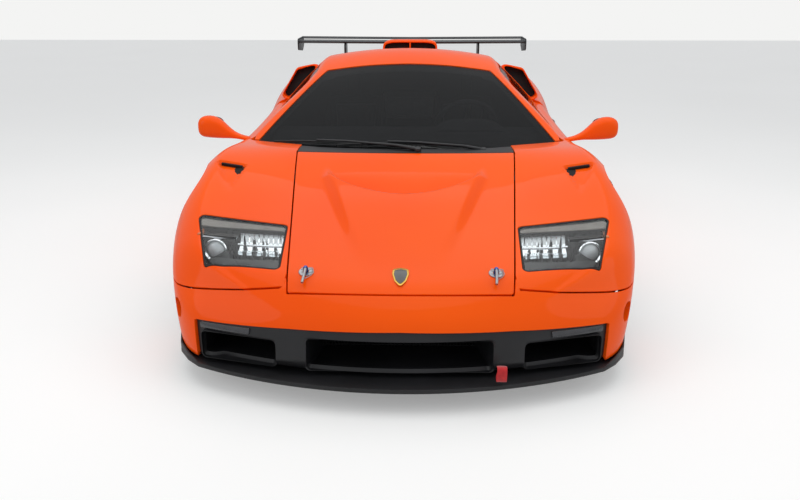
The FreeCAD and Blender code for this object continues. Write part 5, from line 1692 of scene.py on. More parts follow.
# %% Rear wing
def wing_section(nose_y, nose_z, chord, thickness, camber, lift_degrees):
    """An airfoil in side view with its nose at one place, as (y, z) points round the section."""
    t = (1 - np.cos(np.linspace(0, math.pi, 20))) / 2
    taper = 0.2969 * np.sqrt(t) - 0.126 * t - 0.3516 * t ** 2 + 0.2843 * t ** 3 - 0.1015 * t ** 4
    half = 5 * thickness * taper
    line = -camber * 4 * t * (1 - t)
    upper = np.stack([t, line + half], axis=1)
    lower = np.stack([t, line - half], axis=1)[::-1]
    points = np.vstack([upper, lower[1:-1]]) * chord
    turn = math.radians(lift_degrees)
    y = points[:, 0] * math.cos(turn) - points[:, 1] * math.sin(turn)
    z = points[:, 0] * math.sin(turn) + points[:, 1] * math.cos(turn)
    return np.stack([nose_y + y, nose_z + z], axis=1)


WING_HALF = 0.955
WING_DROP = 0.006
SPANS = np.linspace(-0.954, 0.954, 25)


def spanned(section):
    """Draw a wing section across the car, a little lower in the middle."""
    return lofted([np.stack([np.full(len(section), x), section[:, 0],
                             section[:, 1] - WING_DROP * (1 - abs(x) / WING_HALF)], axis=1) for x in SPANS])


part("wing_blade", [spanned(wing_section(1.872, 1.098, 0.262, 0.085, 0.03, 2.0))], CARBON, "chassis",
     ["rear_wing"], sharp=70)
part("wing_flap", [spanned(wing_section(2.095, 1.116, 0.062, 0.10, 0.04, 16))], CARBON, "chassis", sharp=70)
PLATE = rounded([(1.850, 1.030), (1.850, 1.122), (2.158, 1.136), (2.162, 1.060), (2.080, 1.015)], 0.03)
part("wing_end_plate", [prism(PLATE, 0, 0.953, 0.962)], CARBON, "chassis", bevel=0.002, mirrored=True)
UPRIGHT = rounded([(1.905, 0.800), (1.915, 0.95), (1.890, 1.092), (2.075, 1.096), (2.060, 0.95),
                   (2.100, 0.800)], 0.06)
part("wing_upright", [prism(UPRIGHT, 0, 0.560, 0.574)], CARBON, "chassis", bevel=0.003, mirrored=True)
FOOT = rounded([(-0.028, -0.125), (0.028, -0.125), (0.028, 0.125), (-0.028, 0.125)], 0.015)
FOOT_PLACE = (0.567, 2.000, deck_z(0.567, 2.0) - 0.006)
part("wing_foot", [moved(prism(FOOT, 2, 0, 0.010), place=FOOT_PLACE)], BLACK, "chassis", bevel=0.002,
     mirrored=True)

# %% [markdown]
# The scoop on the roof feeds the engine. Its mouth is split by a fin, and the shell fades into the lid. Each
# ring is a squared arch whose feet lie just below the lid's skin, so the loft leaves no gap there.

# %% Roof scoop
# Columns: y, half width, top z
SCOOP_ROWS = [(0.764, 0.190, 1.150), (0.780, 0.190, 1.156), (0.860, 0.189, 1.158), (0.960, 0.187, 1.152),
              (1.080, 0.182, 1.118), (1.200, 0.172, 1.076), (1.310, 0.150, 1.036), (1.395, 0.115, 1.004)]


def scoop_ring(row, inset=0.0, floor_z=None):
    y, half, top = row
    base = deck_z(0, y) - 0.02 if floor_z is None else floor_z
    arch = []
    for angle in np.linspace(0, math.pi, 33):
        x = (half - inset) * np.sign(math.cos(angle)) * abs(math.cos(angle)) ** 0.35
        z = base + (top - inset - base) * math.sin(angle) ** 0.35
        arch.append((x, y, z))
    return np.array(arch)


scoop_shell = [scoop_ring(row) for row in SCOOP_ROWS[::-1]]
scoop_shell += [scoop_ring(SCOOP_ROWS[0], 0.006) + (0, -0.004, 0), scoop_ring(SCOOP_ROWS[0], 0.012)]
part("scoop_shell", [lofted(scoop_shell + [scoop_ring((0.90, 0.190, 1.157), 0.012)], capped=False)], PAINT,
     "engine_lid", ["roof_scoop"], sharp=60)
part("scoop_throat", [lofted([scoop_ring((0.800, 0.178, 1.146), 0.0, 1.06),
                              scoop_ring((0.950, 0.170, 1.130), 0.0, 1.05)])], LINER, "engine_lid")
part("scoop_fin", [brick(-0.005, 0.005, 0.762, 0.92, 1.085, 1.148)], PAINT, "engine_lid", bevel=0.002)

# %% [markdown]
# Each front wing's vent ends in a dark slot under the lip of its hollow, a little deeper than the paint; the
# slot is a closed block of dark liner, painted shade for the opening, since the skin is not cut there.

# %% Wing vent slots
slot_rings = []
for x in np.linspace(0.738, 0.832, 9):
    z = skin_z(x, VENT_SLOT_Y)
    slot_rings.append(np.array([(x, VENT_SLOT_Y - 0.006, z - 0.019), (x, VENT_SLOT_Y - 0.008, z - 0.008),
                                (x, VENT_SLOT_Y + 0.004, z - 0.006), (x, VENT_SLOT_Y + 0.004, z - 0.019)]))
# Painted shade: a closed dark block where the real vent has an open slot.
part("wing_vent_slot_painted_shade", [lofted(slot_rings)], LINER, "chassis", mirrored=True)

# %% [markdown]
# Two wipers rest at the foot of the screen. Each is an arm, a holder and a thin rubber edge, laid along
# points that are found on the glass by rays, so they follow its curve.

# %% Wipers
def on_screen(x, y, lift):
    return np.array((x, y, skin_z(x, y, cabin, 0.5) + lift))


for label, start, end, pivot in (("left", (-0.34, -0.893), (0.16, -0.915), (0.38, -0.930)),
                                 ("right", (-0.68, -0.765), (-0.22, -0.905), (0.06, -0.972))):
    line = [on_screen(start[0] + (end[0] - start[0]) * t, start[1] + (end[1] - start[1]) * t, 0.012)
            for t in np.linspace(0, 1, 17)]
    middle = line[8] + (0, -0.002, 0.008)
    base = on_screen(pivot[0], pivot[1], 0.016)
    arm = [base, base * 0.8 + middle * 0.2 + (0, 0, 0.010), base * 0.3 + middle * 0.7 + (0, 0, 0.008), middle]
    edge = tube([p - (0, -0.001, 0.008) for p in line], 0.003, 6)
    part("wiper_blade_" + label, [tube(line, 0.0045, 8), edge], SEAL, "chassis",
         ["wipers"] if label == "left" else ())
    pivot_cap = lathe([(0.0, 0.010), (0.015, 0.008), (0.017, 0.0), (0.017, -0.035)], base, (0, -0.2, 1))
    part("wiper_arm_" + label, [tube(arm, [0.010, 0.007, 0.006, 0.005]), pivot_cap], BLACK, "chassis",
         bevel=0.001)


# %% [markdown]
# A wheel is turned and cast: a barrel with flanges and safety humps is a turned profile, five wide spokes are
# lofted from the hub to the rim, and each spoke is hollowed on its face. The tyre is a turned profile with
# four grooves; its tread blocks are laid round by Geometry Nodes.

# %% Wheels
RIM_RADIUS = 0.229
DISC_INSET = 0.036
SPOKES = 5
VANES = 36
FRONT_WHEEL = (0.825, *FRONT_AXLE)
REAR_WHEEL = (0.835, *REAR_AXLE)


def wheel_profile(width):
    """The barrel as (radius, distance outboard) points, closed on its inner side."""
    half = width / 2
    radius = RIM_RADIUS
    outer = [(radius, -half + 0.006), (radius + 0.003, -half + 0.003), (radius + 0.002, -half),
             (radius - 0.004, -half), (radius - 0.007, -half + 0.010), (radius - 0.012, -half + 0.030),
             (radius - 0.022, -half + 0.060), (radius - 0.024, half - 0.070),
             (radius - 0.014, half - 0.040), (radius - 0.009, half - 0.016), (radius - 0.009, half - 0.003),
             (radius - 0.003, half), (radius + 0.003, half - 0.001), (radius + 0.002, half - 0.006)]
    seat = [(radius - 0.003, half - 0.020), (radius - 0.016, half - 0.060), (radius - 0.018, -half + 0.060),
            (radius - 0.003, -half + 0.020)]
    return outer + seat


def spoke(outer_x, angle):
    """One spoke from the hub to the rim as rings square to its length."""
    rings = []
    for share in np.linspace(0, 1, 9):
        reach = 0.055 + (RIM_RADIUS - 0.067) * share
        half = 0.040 - 0.012 * math.sin(share * math.pi) + 0.014 * share ** 3
        face = outer_x - 0.052 + 0.026 * share ** 1.5
        depth = 0.040 - 0.012 * share
        shape = [(-half, -0.008), (-half + 0.006, 0.0), (-half * 0.45, -0.001), (-half * 0.35, -0.009),
                 (half * 0.35, -0.009), (half * 0.45, -0.001), (half - 0.006, 0.0), (half, -0.008),
                 (half * 0.75, -depth), (-half * 0.75, -depth)]
        ring = [(face + out, side * math.cos(angle) + reach * math.sin(angle),
                 -side * math.sin(angle) + reach * math.cos(angle)) for side, out in shape]
        rings.append(np.array(ring))
    return lofted(rings)


def tyre_profile(width, radius, grooves):
    """The tyre's section as (radius, distance outboard): beads, sidewalls, tread with grooves."""
    half = width / 2
    rim_radius = RIM_RADIUS
    side = [(rim_radius + 0.001, half - 0.022), (rim_radius + 0.004, half - 0.012),
            (rim_radius + 0.012, half - 0.008), (rim_radius + 0.016, half - 0.003),
            ((rim_radius + radius) / 2, half), (radius - 0.030, half - 0.002),
            (radius - 0.020, half - 0.006), (radius - 0.012, half - 0.013), (radius - 0.005, half - 0.026),
            (radius - 0.002, half - 0.040)]
    tread = []
    for place in grooves:
        edge = radius - 0.0015 * abs(place) / half
        tread += [(edge, place + 0.0055), (edge - 0.007, place + 0.0035), (edge - 0.007, place - 0.0035),
                  (edge, place - 0.0055)]
    return side + tread + [(r, -s) for r, s in side[::-1]]


def tread_tree():
    """Blocks round a tyre: count of blocks, radius, distance out, width, length and height of each."""
    tree, ins = node_group("tread_blocks", Blocks=64, Radius=0.31, Out=0.1, Width=0.03, Length=0.02,
                           Height=0.008)
    ring = output(tree, "GeometryNodeMeshCircle", links=[("Vertices", ins["Blocks"]),
                                                         ("Radius", ins["Radius"])])
    place = output(tree, "GeometryNodeInputPosition")
    turn = output(tree, "FunctionNodeAlignRotationToVector", links=[("Vector", place)], axis="X")
    size = output(tree, "ShaderNodeCombineXYZ",
                  links=[("X", ins["Height"]), ("Y", ins["Length"]), ("Z", ins["Width"])])
    cube = output(tree, "GeometryNodeMeshCube", links=[("Size", size)])
    laid = output(tree, "GeometryNodeInstanceOnPoints",
                  links=[("Points", ring), ("Instance", cube), ("Rotation", turn)])
    slide = output(tree, "ShaderNodeCombineXYZ", links=[("Z", ins["Out"])])
    shifted = output(tree, "GeometryNodeTransform", links=[("Geometry", laid), ("Translation", slide)])
    return ended(tree, ins, shifted)


TREAD = tread_tree()


def tread_ring(count, radius, out, width, length):
    """A ring of tread blocks about the x axis, a distance out from the tyre's middle."""
    points, faces = mesh_shape(from_nodes(TREAD, Blocks=count, Radius=radius, Out=out, Width=width,
                                          Length=length, Height=0.006, Material=RUBBER))
    return points[:, [2, 0, 1]], faces


def build_wheel(end, centre, tyre_radius, width, grooves):
    """Rim, disc, centre, bolts and tyre of the left wheel, mirrored to the right."""
    body = "wheel_" + end
    x0, y0, z0 = centre
    axis = (1, 0, 0)
    outer = x0 + width / 2
    rim = [lathe(wheel_profile(width - 0.016), centre, axis, 96, closed=True)]
    part("rim_barrel_" + end, rim, ALLOY, body, ["rim_" + end], mirrored=True, sharp=40)
    spokes = [moved(spoke(outer - x0, k * 2 * math.pi / SPOKES), place=centre) for k in range(SPOKES)]
    part("rim_spokes_" + end, spokes, ALLOY, body, bevel=0.003, mirrored=True, sharp=30)
    hub = [(0.0, 0.0), (0.030, 0.0), (0.033, -0.003), (0.034, -0.012), (0.064, -0.016), (0.076, -0.022),
           (0.078, -0.060), (0.0, -0.060)]
    face_place = (outer - 0.034, y0, z0)
    part("wheel_hub_" + end, [lathe(hub, face_place, axis, 64)], ALLOY, body, mirrored=True)
    part("hub_cap_" + end, [lathe([(0, 0.003), (0.022, 0.002), (0.027, 0), (0.027, -0.01), (0, -0.01)],
                                  face_place, axis)], BARE_BADGE, body, mirrored=True)
    bolts = []
    for k in range(SPOKES):
        turn = (k + 0.5) * 2 * math.pi / SPOKES
        place = (outer - 0.046, y0 + 0.052 * math.sin(turn), z0 + 0.052 * math.cos(turn))
        bolts.append(lathe([(0, 0.006), (0.008, 0.006), (0.0095, 0.0045), (0.0095, -0.012), (0, -0.012)],
                           place, axis, 6))
    part("wheel_bolts_" + end, bolts, STEEL, body, bevel=0.0008, mirrored=True)
    disc_x = x0 - DISC_INSET
    disc = [(0.172, 0.000), (0.172, 0.012), (0.100, 0.012), (0.098, 0.016), (0.098, 0.034), (0.080, 0.034),
            (0.080, 0.0)]
    part("brake_disc_" + end, [lathe(disc, (disc_x, y0, z0), axis, 96, closed=True)], STEEL, body,
         mirrored=True, sharp=30)
    vanes = []
    for k in range(VANES):
        turn = k * 2 * math.pi / VANES
        vane = brick(0.012, 0.020, -0.003, 0.003, 0.104, 0.170)
        vanes.append(moved(vane, Matrix.Rotation(turn, 3, "X").to_quaternion(), (disc_x, y0, z0)))
    part("disc_vanes_" + end, vanes, IRON, body, mirrored=True)
    back = [(0.172, 0.020), (0.172, 0.032), (0.100, 0.032), (0.100, 0.020)]
    part("disc_rear_face_" + end, [lathe(back, (disc_x, y0, z0), axis, 96, closed=True)], STEEL, body,
         mirrored=True, sharp=30)
    profile = tyre_profile(width, tyre_radius, grooves)
    part("tyre_carcass_" + end, [lathe(profile, centre, axis, 120, closed=True)], RUBBER, body,
         ["tyre_" + end], mirrored=True, sharp=25)
    blocks = []
    half = width / 2
    for out in (half - 0.030, -half + 0.030):
        blocks.append(tread_ring(72, tyre_radius - 0.0068, out, 0.034, 0.020))
    edges = [half - 0.046] + list(grooves) + [-half + 0.046]
    for k, (a, b) in enumerate(zip(edges[:-1], edges[1:])):
        blocks.append(tread_ring(84, tyre_radius - 0.0034, (a + b) / 2, abs(a - b) - 0.014, 0.0185))
    part("tyre_tread_" + end, [moved(block, place=centre) for block in blocks], RUBBER, body,
         mirrored=True, sharp=30)
    ring = [(tyre_radius - 0.035, half + 0.0002), (tyre_radius - 0.033, half + 0.0006),
            (tyre_radius - 0.031, half), (tyre_radius - 0.031, half - 0.006),
            (tyre_radius - 0.035, half - 0.006)]
    part("tyre_rib_" + end, [lathe(ring, centre, axis, 120, closed=True)], RUBBER, body, mirrored=True)


build_wheel("front", FRONT_WHEEL, 0.314, 0.245, (0.050, 0.017, -0.017, -0.050))
build_wheel("rear", REAR_WHEEL, 0.329, 0.335, (0.090, 0.030, -0.030, -0.090))


# %% [markdown]
# Brake calipers straddle the discs. Front ones ride on the knuckles and turn with the steering; rear ones
# stay with the car. Each is two curved blocks joined over the disc's edge. Dark liners close the arches; the
# front one is stepped, because the steered tyre needs more room inboard.

# %% Calipers, wheel arch liners and skirts
def caliper(centre, x0, x1, inner_radius, outer_radius, spread):
    """A curved block about the axle, some degrees to either side, as a closed outline pushed along x."""
    angles = np.radians(np.linspace(-spread, spread, 14))
    outer = [(centre[1] + outer_radius * math.cos(a), centre[2] + outer_radius * math.sin(a)) for a in angles]
    inner = [(centre[1] + inner_radius * math.cos(a),
              centre[2] + inner_radius * math.sin(a)) for a in angles[::-1]]
    return prism(outer + inner, 0, x0, x1)


for end, centre, body in (("front", FRONT_WHEEL, "knuckle"), ("rear", REAR_WHEEL, "chassis")):
    disc_x = centre[0] - DISC_INSET
    halves = [caliper(centre, disc_x - 0.034, disc_x - 0.006, 0.112, 0.196, 24),
              caliper(centre, disc_x + 0.038, disc_x + 0.052, 0.112, 0.196, 24),
              caliper(centre, disc_x - 0.034, disc_x + 0.052, 0.179, 0.200, 22)]
    part("caliper_" + end, halves, GREY_CAST, body, ["knuckle"] if end == "front" else (),
         bevel=0.004, mirrored=True)
post_x = 0.762
arm = [(post_x, -1.170, 0.314), (post_x + 0.004, -1.12, 0.314), (post_x + 0.006, -1.07, 0.314)]
part("knuckle_upright", [lathe([(0.0, -0.100), (0.019, -0.100), (0.0215, -0.094), (0.0215, 0.094),
                                (0.019, 0.100), (0.0, 0.100)], (post_x, *FRONT_AXLE), (0, 0, 1), 40),
                         tube(arm, [0.028, 0.022, 0.018], 16)], IRON, "knuckle", mirrored=True)
part("knuckle_axle", [lathe([(0.0, 0), (0.028, 0), (0.028, 0.128), (0.020, 0.131), (0, 0.131)],
                            (post_x, *FRONT_AXLE), (1, 0, 0), 32)], STEEL, "knuckle",
     mirrored=True)


def arch_liner(name, axle, steps, ends):
    """Stepped dark lining of a wheel arch: (inner x, outer x, radius) of each step, then a wall."""
    angles = np.radians(np.linspace(ends[0], ends[1], 49))

    def arc(x, radius):
        return np.array([(x, axle[0] + radius * math.cos(a), axle[1] + radius * math.sin(a)) for a in angles])

    sheets = []
    for k, (x0, x1, radius) in enumerate(steps):
        sheets.append(strip([arc(x0, radius), arc(x1, radius)], (0, 0, 0.003)))
        if k + 1 < len(steps):
            sheets.append(strip([arc(x0, radius), arc(x0, steps[k + 1][2])], (-0.003, 0, 0)))
    part(name, sheets, LINER, "chassis", mirrored=True)
    x0, _, radius = steps[-1]
    part(name + "_inner", [prism(arc(x0, radius)[:, 1:], 0, x0 - 0.006, x0)], LINER, "chassis", mirrored=True)


arch_liner("front_arch_liner", FRONT_AXLE, [(0.700, 0.900, FRONT_ARCH - 0.001),
                                            (0.500, 0.700, FRONT_ARCH - 0.029)], (-28, 208))
arch_liner("rear_arch_liner", REAR_AXLE, [(0.640, 0.900, REAR_ARCH - 0.0015)], (-26, 206))

SKIRT_ROWS = []
for y in np.linspace(-0.845, 1.10, 24):
    edge = 0.962 + 0.014 * smooth_step(y, -0.2, 1.1)
    SKIRT_ROWS.append([(edge - 0.060, y, 0.156), (edge - 0.004, y, 0.156), (edge + 0.004, y, 0.146),
                       (edge + 0.006, y, 0.118), (edge - 0.002, y, 0.108), (edge - 0.060, y, 0.108)])
part("side_skirt", [lofted([np.array(row) for row in SKIRT_ROWS])], BLACK, "chassis", ["side_skirts"],
     bevel=0.003, mirrored=True)


# %% [markdown]
# Seats are a hard shell with two stuffed pads. A pad starts as a plain block a little smaller than its place;
# it is remeshed, blown up by Blender's cloth with inner pressure, held to a cap of movement, and then sewn:
# channels are pressed in along the seams. The other seat takes the mirrored mesh, so each pad is blown once.

# %% Seat pads
SEAT_MIDDLE = 0.360
PAD_HALF = 0.142
PAD_VOXEL = 0.0120
PAD_CAP = 0.014
PAD_PRESSURE = 4.0
PAD_FRAMES = 20
SEAMS = (-0.075, 0, 0.075)


def blown(pad, cap):
    """Swell a closed pad with cloth pressure and hold every point within a cap."""
    start = np.array([tuple(v.co) for v in pad.data.vertices])
    cloth = with_modifier(pad, "CLOTH")
    cloth.settings.use_pressure = True
    cloth.settings.uniform_pressure_force = PAD_PRESSURE
    cloth.settings.effector_weights.gravity = 0.0
    for step in range(1, PAD_FRAMES + 1):
        bpy.context.scene.frame_set(step)
    result = pad.evaluated_get(bpy.context.evaluated_depsgraph_get()).to_mesh()
    move = np.array([tuple(v.co) for v in result.vertices]) - start
    reach = np.linalg.norm(move, axis=1)[:, None]
    pad.modifiers.clear()
    bpy.context.scene.frame_set(1)
    held = start + move * np.minimum(1, cap / np.maximum(reach, 1e-9))
    pad.data.vertices.foreach_set("co", held.ravel())
    print(pad.name, "swelled", round(float(reach.max()), 4), "m before the cap")


def stuffed(name, shape, channels):
    """A padded piece for the left seat and its mirrored twin for the right one."""
    mesh = bpy.data.meshes.new(name)
    mesh.from_pydata([tuple(p) for p in shape[0]], [], shape[1])
    pad = new_object(name + "_left", mesh)
    with_modifier(pad, "REMESH", mode="VOXEL", voxel_size=PAD_VOXEL)
    settle(pad)
    blown(pad, PAD_CAP)
    points = np.array([tuple(v.co) for v in pad.data.vertices])
    normals = np.array([tuple(v.normal) for v in pad.data.vertices])
    points -= normals * channels(points)[:, None]
    pad.data.vertices.foreach_set("co", points.ravel())
    with_modifier(pad, "SUBSURF", levels=1, render_levels=1)
    settle(pad)
    for face in pad.data.polygons:
        face.use_smooth = True
    twin_mesh = pad.data.copy()
    twin_mesh.transform(Matrix.Scale(-1, 4, (1, 0, 0)))
    twin_mesh.flip_normals()
    for piece in (pad, new_object(name + "_right", twin_mesh)):
        piece.data.materials.clear()
        piece.data.materials.append(CLOTH)
        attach(piece, "chassis")
    print(name, "faces", len(pad.data.polygons))


def sewn(axis, place, half_width=0.007, depth=0.006):
    """How deep the seams press in: three lines along the pad, and one across it at a place on an axis."""
    def press(points):
        off = np.min([np.abs(points[:, 0] - SEAT_MIDDLE - line) for line in SEAMS], axis=0)
        off = np.minimum(off, np.abs(points[:, axis] - place))
        return depth * np.exp(-(off / half_width) ** 2)
    return press


def seat_block(outline):
    return prism(rounded(outline, 0.03), 0, SEAT_MIDDLE - PAD_HALF, SEAT_MIDDLE + PAD_HALF)


CUSHION = [(-0.105, 0.215), (-0.125, 0.305), (-0.080, 0.318), (0.215, 0.242), (0.225, 0.175)]
BACK_PAD = [(0.300, 0.262), (0.392, 0.560), (0.475, 0.765), (0.535, 0.765), (0.470, 0.560), (0.375, 0.262)]
stuffed("seat_cushion", seat_block(CUSHION), sewn(1, 0.09))
stuffed("seat_back_pad", seat_block(BACK_PAD), sewn(2, 0.60))


def shell_ring(y, low, wing, seat):
    """One slice of the seat's shell across the car: outer wall, rolled edge and inner wall of a bucket."""
    half = 0.218
    shape = [(-half, low), (-half, wing - 0.02), (-half + 0.012, wing), (-half + 0.035, wing - 0.006),
             (-0.155, seat + 0.02), (-0.147, seat), (0.147, seat), (0.155, seat + 0.02),
             (half - 0.035, wing - 0.006), (half - 0.012, wing), (half, wing - 0.02), (half, low)]
    return np.array([(SEAT_MIDDLE + x, y, z) for x, z in shape])


BASE_RINGS = [shell_ring(-0.150, 0.150, 0.275, 0.215), shell_ring(-0.120, 0.140, 0.338, 0.212),
              shell_ring(0.000, 0.134, 0.318, 0.190), shell_ring(0.150, 0.134, 0.300, 0.165),
              shell_ring(0.235, 0.134, 0.330, 0.160), shell_ring(0.300, 0.134, 0.400, 0.175)]


def back_ring(z, front, wing, rear):
    half = 0.222 - 0.03 * max(z - 0.5, 0) / 0.3
    shape = [(-half, wing), (-half + 0.015, wing - 0.014), (-0.165, wing), (-0.148, front), (0.148, front),
             (0.165, wing), (half - 0.015, wing - 0.014), (half, wing), (half - 0.01, rear),
             (-half + 0.01, rear)]
    return np.array([(SEAT_MIDDLE + x, y, z) for x, y in shape])


BACK_RINGS = [back_ring(0.250, 0.380, 0.250, 0.445), back_ring(0.400, 0.425, 0.290, 0.490),
              back_ring(0.540, 0.468, 0.360, 0.535), back_ring(0.660, 0.510, 0.440, 0.560),
              back_ring(0.770, 0.542, 0.500, 0.582), back_ring(0.797, 0.552, 0.530, 0.580)]
for side, turn in (("left", lambda shape: shape), ("right", flipped_x)):
    part("seat_shell_" + side, [turn(lofted(BASE_RINGS)), turn(lofted(BACK_RINGS))], CARBON, "chassis",
         ["seat_" + side], bevel=0.004, sharp=40)

# %% [markdown]
# The steering wheel is a padded ring on three flat spokes. The dash keeps its CAD body and gets a hood over
# the dials, and a console with the gear lever stands between the seats. All are turned, extruded or lofted
# in a few points, because they are small and stand behind dark glass.

# %% Steering wheel and cabin fittings
DRIVER_X = 0.34
WHEEL_PLACE = (DRIVER_X, -0.26, 0.70)
WHEEL_AXIS = (0, math.cos(math.radians(22)), math.sin(math.radians(22)))
WHEEL_TURN = Vector((0, 0, 1)).rotation_difference(Vector(WHEEL_AXIS))
RING = [(0.178 + 0.0145 * math.cos(a), 0.0145 * math.sin(a))
        for a in np.linspace(0, 2 * math.pi, 14, endpoint=False)]
part("steering_ring", [lathe(RING, WHEEL_PLACE, WHEEL_AXIS, 72, closed=True)], DASH, "steering_wheel",
     ["steering_wheel"], sharp=80)
spoke_parts = []
for angle in (0, math.pi, -math.pi / 2):
    plate = prism(rounded([(0.030, -0.022), (0.100, -0.012), (0.170, -0.020), (0.170, 0.020), (0.100, 0.012),
                           (0.030, 0.022)], 0.01, 4), 2, -0.003, 0.003)
    plate = moved(plate, Matrix.Rotation(angle, 3, "Z").to_quaternion())
    spoke_parts.append(moved(plate, WHEEL_TURN, WHEEL_PLACE))
part("steering_spokes", spoke_parts, STEEL, "steering_wheel", bevel=0.001)
HUB = [(0.0, 0.016), (0.030, 0.014), (0.042, 0.006), (0.044, -0.010), (0.036, -0.018), (0.0, -0.018)]
part("steering_hub", [lathe(HUB, WHEEL_PLACE, WHEEL_AXIS)], DASH, "steering_wheel")
HOOD_HALF = 0.19
hood = []
for y, rise in ((-0.560, 0.010), (-0.520, 0.040), (-0.460, 0.052), (-0.425, 0.050)):
    line = []
    for x in np.linspace(-HOOD_HALF, HOOD_HALF, 15):
        line.append((DRIVER_X + x, y, 0.735 + rise * (1 - (x / HOOD_HALF) ** 4)))
    line += [(DRIVER_X + HOOD_HALF, y, 0.700), (DRIVER_X - HOOD_HALF, y, 0.700)]
    hood.append(np.array(line))
part("dial_hood", [lofted(hood)], DASH, "chassis", bevel=0.002, sharp=50)
dials = []
for x in (-0.10, -0.035, 0.035, 0.10):
    dials.append(lathe([(0.0, 0.001), (0.026, 0.001), (0.029, 0.004), (0.031, 0.0), (0.031, -0.01),
                        (0, -0.01)], (DRIVER_X + x, -0.4235, 0.725), (0, 1, 0.1), 32))
part("dials", dials, BARE_BADGE, "chassis")
part("console", [prism(rounded([(-0.44, 0.335), (-0.42, 0.56), (-0.34, 0.60), (-0.24, 0.47), (0.10, 0.42),
                                (0.52, 0.43), (0.54, 0.335)], 0.03), 0, -0.098, 0.098)], DASH, "chassis",
     bevel=0.008)
part("gear_gate", [brick(0.004, 0.084, -0.16, -0.06, 0.452, 0.458)], STEEL, "chassis", bevel=0.001)
part("gear_lever", [tube([(0.044, -0.11, 0.44), (0.044, -0.108, 0.50), (0.044, -0.102, 0.545)], 0.005)],
     STEEL, "chassis")
part("gear_knob", [lathe([(0.0, 0.022), (0.012, 0.020), (0.020, 0.008), (0.019, -0.008), (0.010, -0.020),
                          (0, -0.022)], (0.044, -0.100, 0.560), (0, 0.1, 1), 24)], SEAL, "chassis", (),
     sharp=80)


# %% [markdown]
# The tail has a dark panel with three round lamps a side, each a domed lens in a thin bezel, over bars that
# follow the curve. Lens and bezel are turned profiles, aimed square to the curve of the tail.

# %% Tail panel and lamps
def tail_y(x, z):
    """Where the tail stands at a place seen from behind."""
    return float(hit_of((x * 0.6, 1.50, z), (x * 0.4, 0.6, 0), rear_body)[1])


TAIL_GRID = grid_of(spaced(-1, 1, 0.010), spaced(-16, 26, 1.0),
                    end_fan(lambda p: rear_body(p) + 0.030, 0.70, 1.50, 0.55, 55, 1))
panel("tail_panel", TAIL_GRID, [lambda p: 0.012 - from_tail_window(p)], 0.008, "chassis", ["rear_panel"],
      outward=(0, 1, 0), material=BLACK)
bars = []
for z in np.linspace(0.592, 0.744, 9):
    bars.append(tube([(x, tail_y(x, z) - 0.024, z) for x in np.linspace(-0.775, 0.775, 41)], 0.0035, 6))
part("tail_bars", bars, BLACK, "chassis", sharp=60)
TAIL_LAMP_Z = 0.668
lenses = {"red": [], "amber": []}
bezels = []
for side in (1, -1):
    for x, colour in ((0.400, "red"), (0.560, "red"), (0.720, "amber")):
        place = (side * x, tail_y(side * x, TAIL_LAMP_Z) - 0.020, TAIL_LAMP_Z)
        out = np.array((side * x / TAIL_RADIUS, 1.0, 0.0))
        dome = [(0.0, 0.016), (0.020, 0.0145), (0.038, 0.010), (0.050, 0.003), (0.053, -0.004),
                (0.053, -0.030), (0, -0.030)]
        lenses[colour].append(lathe(dome, place, out, 48))
        ring = [(0.0535, -0.030), (0.0535, 0.004), (0.057, 0.007), (0.0605, 0.004), (0.0605, -0.030)]
        bezels.append(lathe(ring, place, out, 48, closed=True))
part("tail_lenses_red", lenses["red"], RED_LENS, "chassis", ["tail_lamps"], sharp=60)
part("tail_lenses_amber", lenses["amber"], AMBER_LENS, "chassis", sharp=60)
part("tail_bezels", bezels, SEAL, "chassis", (), sharp=40)

# %% [markdown]
# A diffuser is a ramp under the tail with upright fins that keep the air straight, so both are extruded side
# views. The exhaust ends are turned with a rolled lip, dark inside, in front of a flat silencer.

# %% Diffuser and exhaust
ramp = [(1.958, 0.178), (2.150, 0.270), (2.180, 0.286), (2.180, 0.294), (2.150, 0.282), (1.958, 0.190)]
fins = [prism([(1.958, 0.156), (2.165, 0.180), (2.185, 0.200), (2.182, 0.288), (1.958, 0.182)], 0,
              x - 0.004, x + 0.004) for x in np.linspace(-0.5, 0.5, 6)]
part("diffuser_ramp", [prism(ramp, 0, -0.618, 0.618)], BLACK, "chassis", ["diffuser"], bevel=0.002)
part("diffuser_fins", fins, BLACK, "chassis", bevel=0.0015)
pipe = [(0.055, -0.095), (0.055, 0.000), (0.0535, 0.0035), (0.050, 0.0035), (0.0490, 0.0), (0.0490, -0.085),
        (0.0, -0.085)]
part("exhaust_tips", [lathe([(0.0, -0.095)] + pipe, place, (0, 1, 0), 56) for place in EXHAUST_ENDS], STEEL,
     "chassis", ["exhaust"], sharp=50)
bore = [(0.0, -0.045), (0.048, -0.045), (0.048, -0.060), (0.0, -0.060)]
part("exhaust_bores", [lathe(bore, place, (0, 1, 0)) for place in EXHAUST_ENDS], LINER, "chassis")
can = rounded([(-0.360, 0.357), (0.360, 0.357), (0.360, 0.503), (-0.360, 0.503)], 0.06)
part("silencer", [prism(can, 1, 1.960, 2.105)], STEEL, "chassis", bevel=0.006)

# %% [markdown]
# Slats let the hot air out of the engine bay, over a dark bed. A tree lays them along a sloping line: its
# named inputs are the two ends of the line, the number of slats and the size and tilt of one, so the number
# can change and the bank keeps its ends.

# %% Engine lid slats
def slat_tree():
    tree, ins = node_group("slats", Start=(0.0, 0.0, 0.0), End=(0.0, 1.0, 0.0), Size=(0.2, 0.04, 0.003),
                           Count=10, Tilt=0.4)
    line = output(tree, "GeometryNodeMeshLine", mode="END_POINTS",
                  links=[("Count", ins["Count"]), ("Start Location", ins["Start"]), ("Offset", ins["End"])])
    cube = output(tree, "GeometryNodeMeshCube", links=[("Size", ins["Size"])])
    tilt = output(tree, "ShaderNodeCombineXYZ", links=[("X", ins["Tilt"])])
    laid = output(tree, "GeometryNodeInstanceOnPoints",
                  links=[("Points", line), ("Instance", cube), ("Rotation", tilt)])
    return ended(tree, ins, laid)


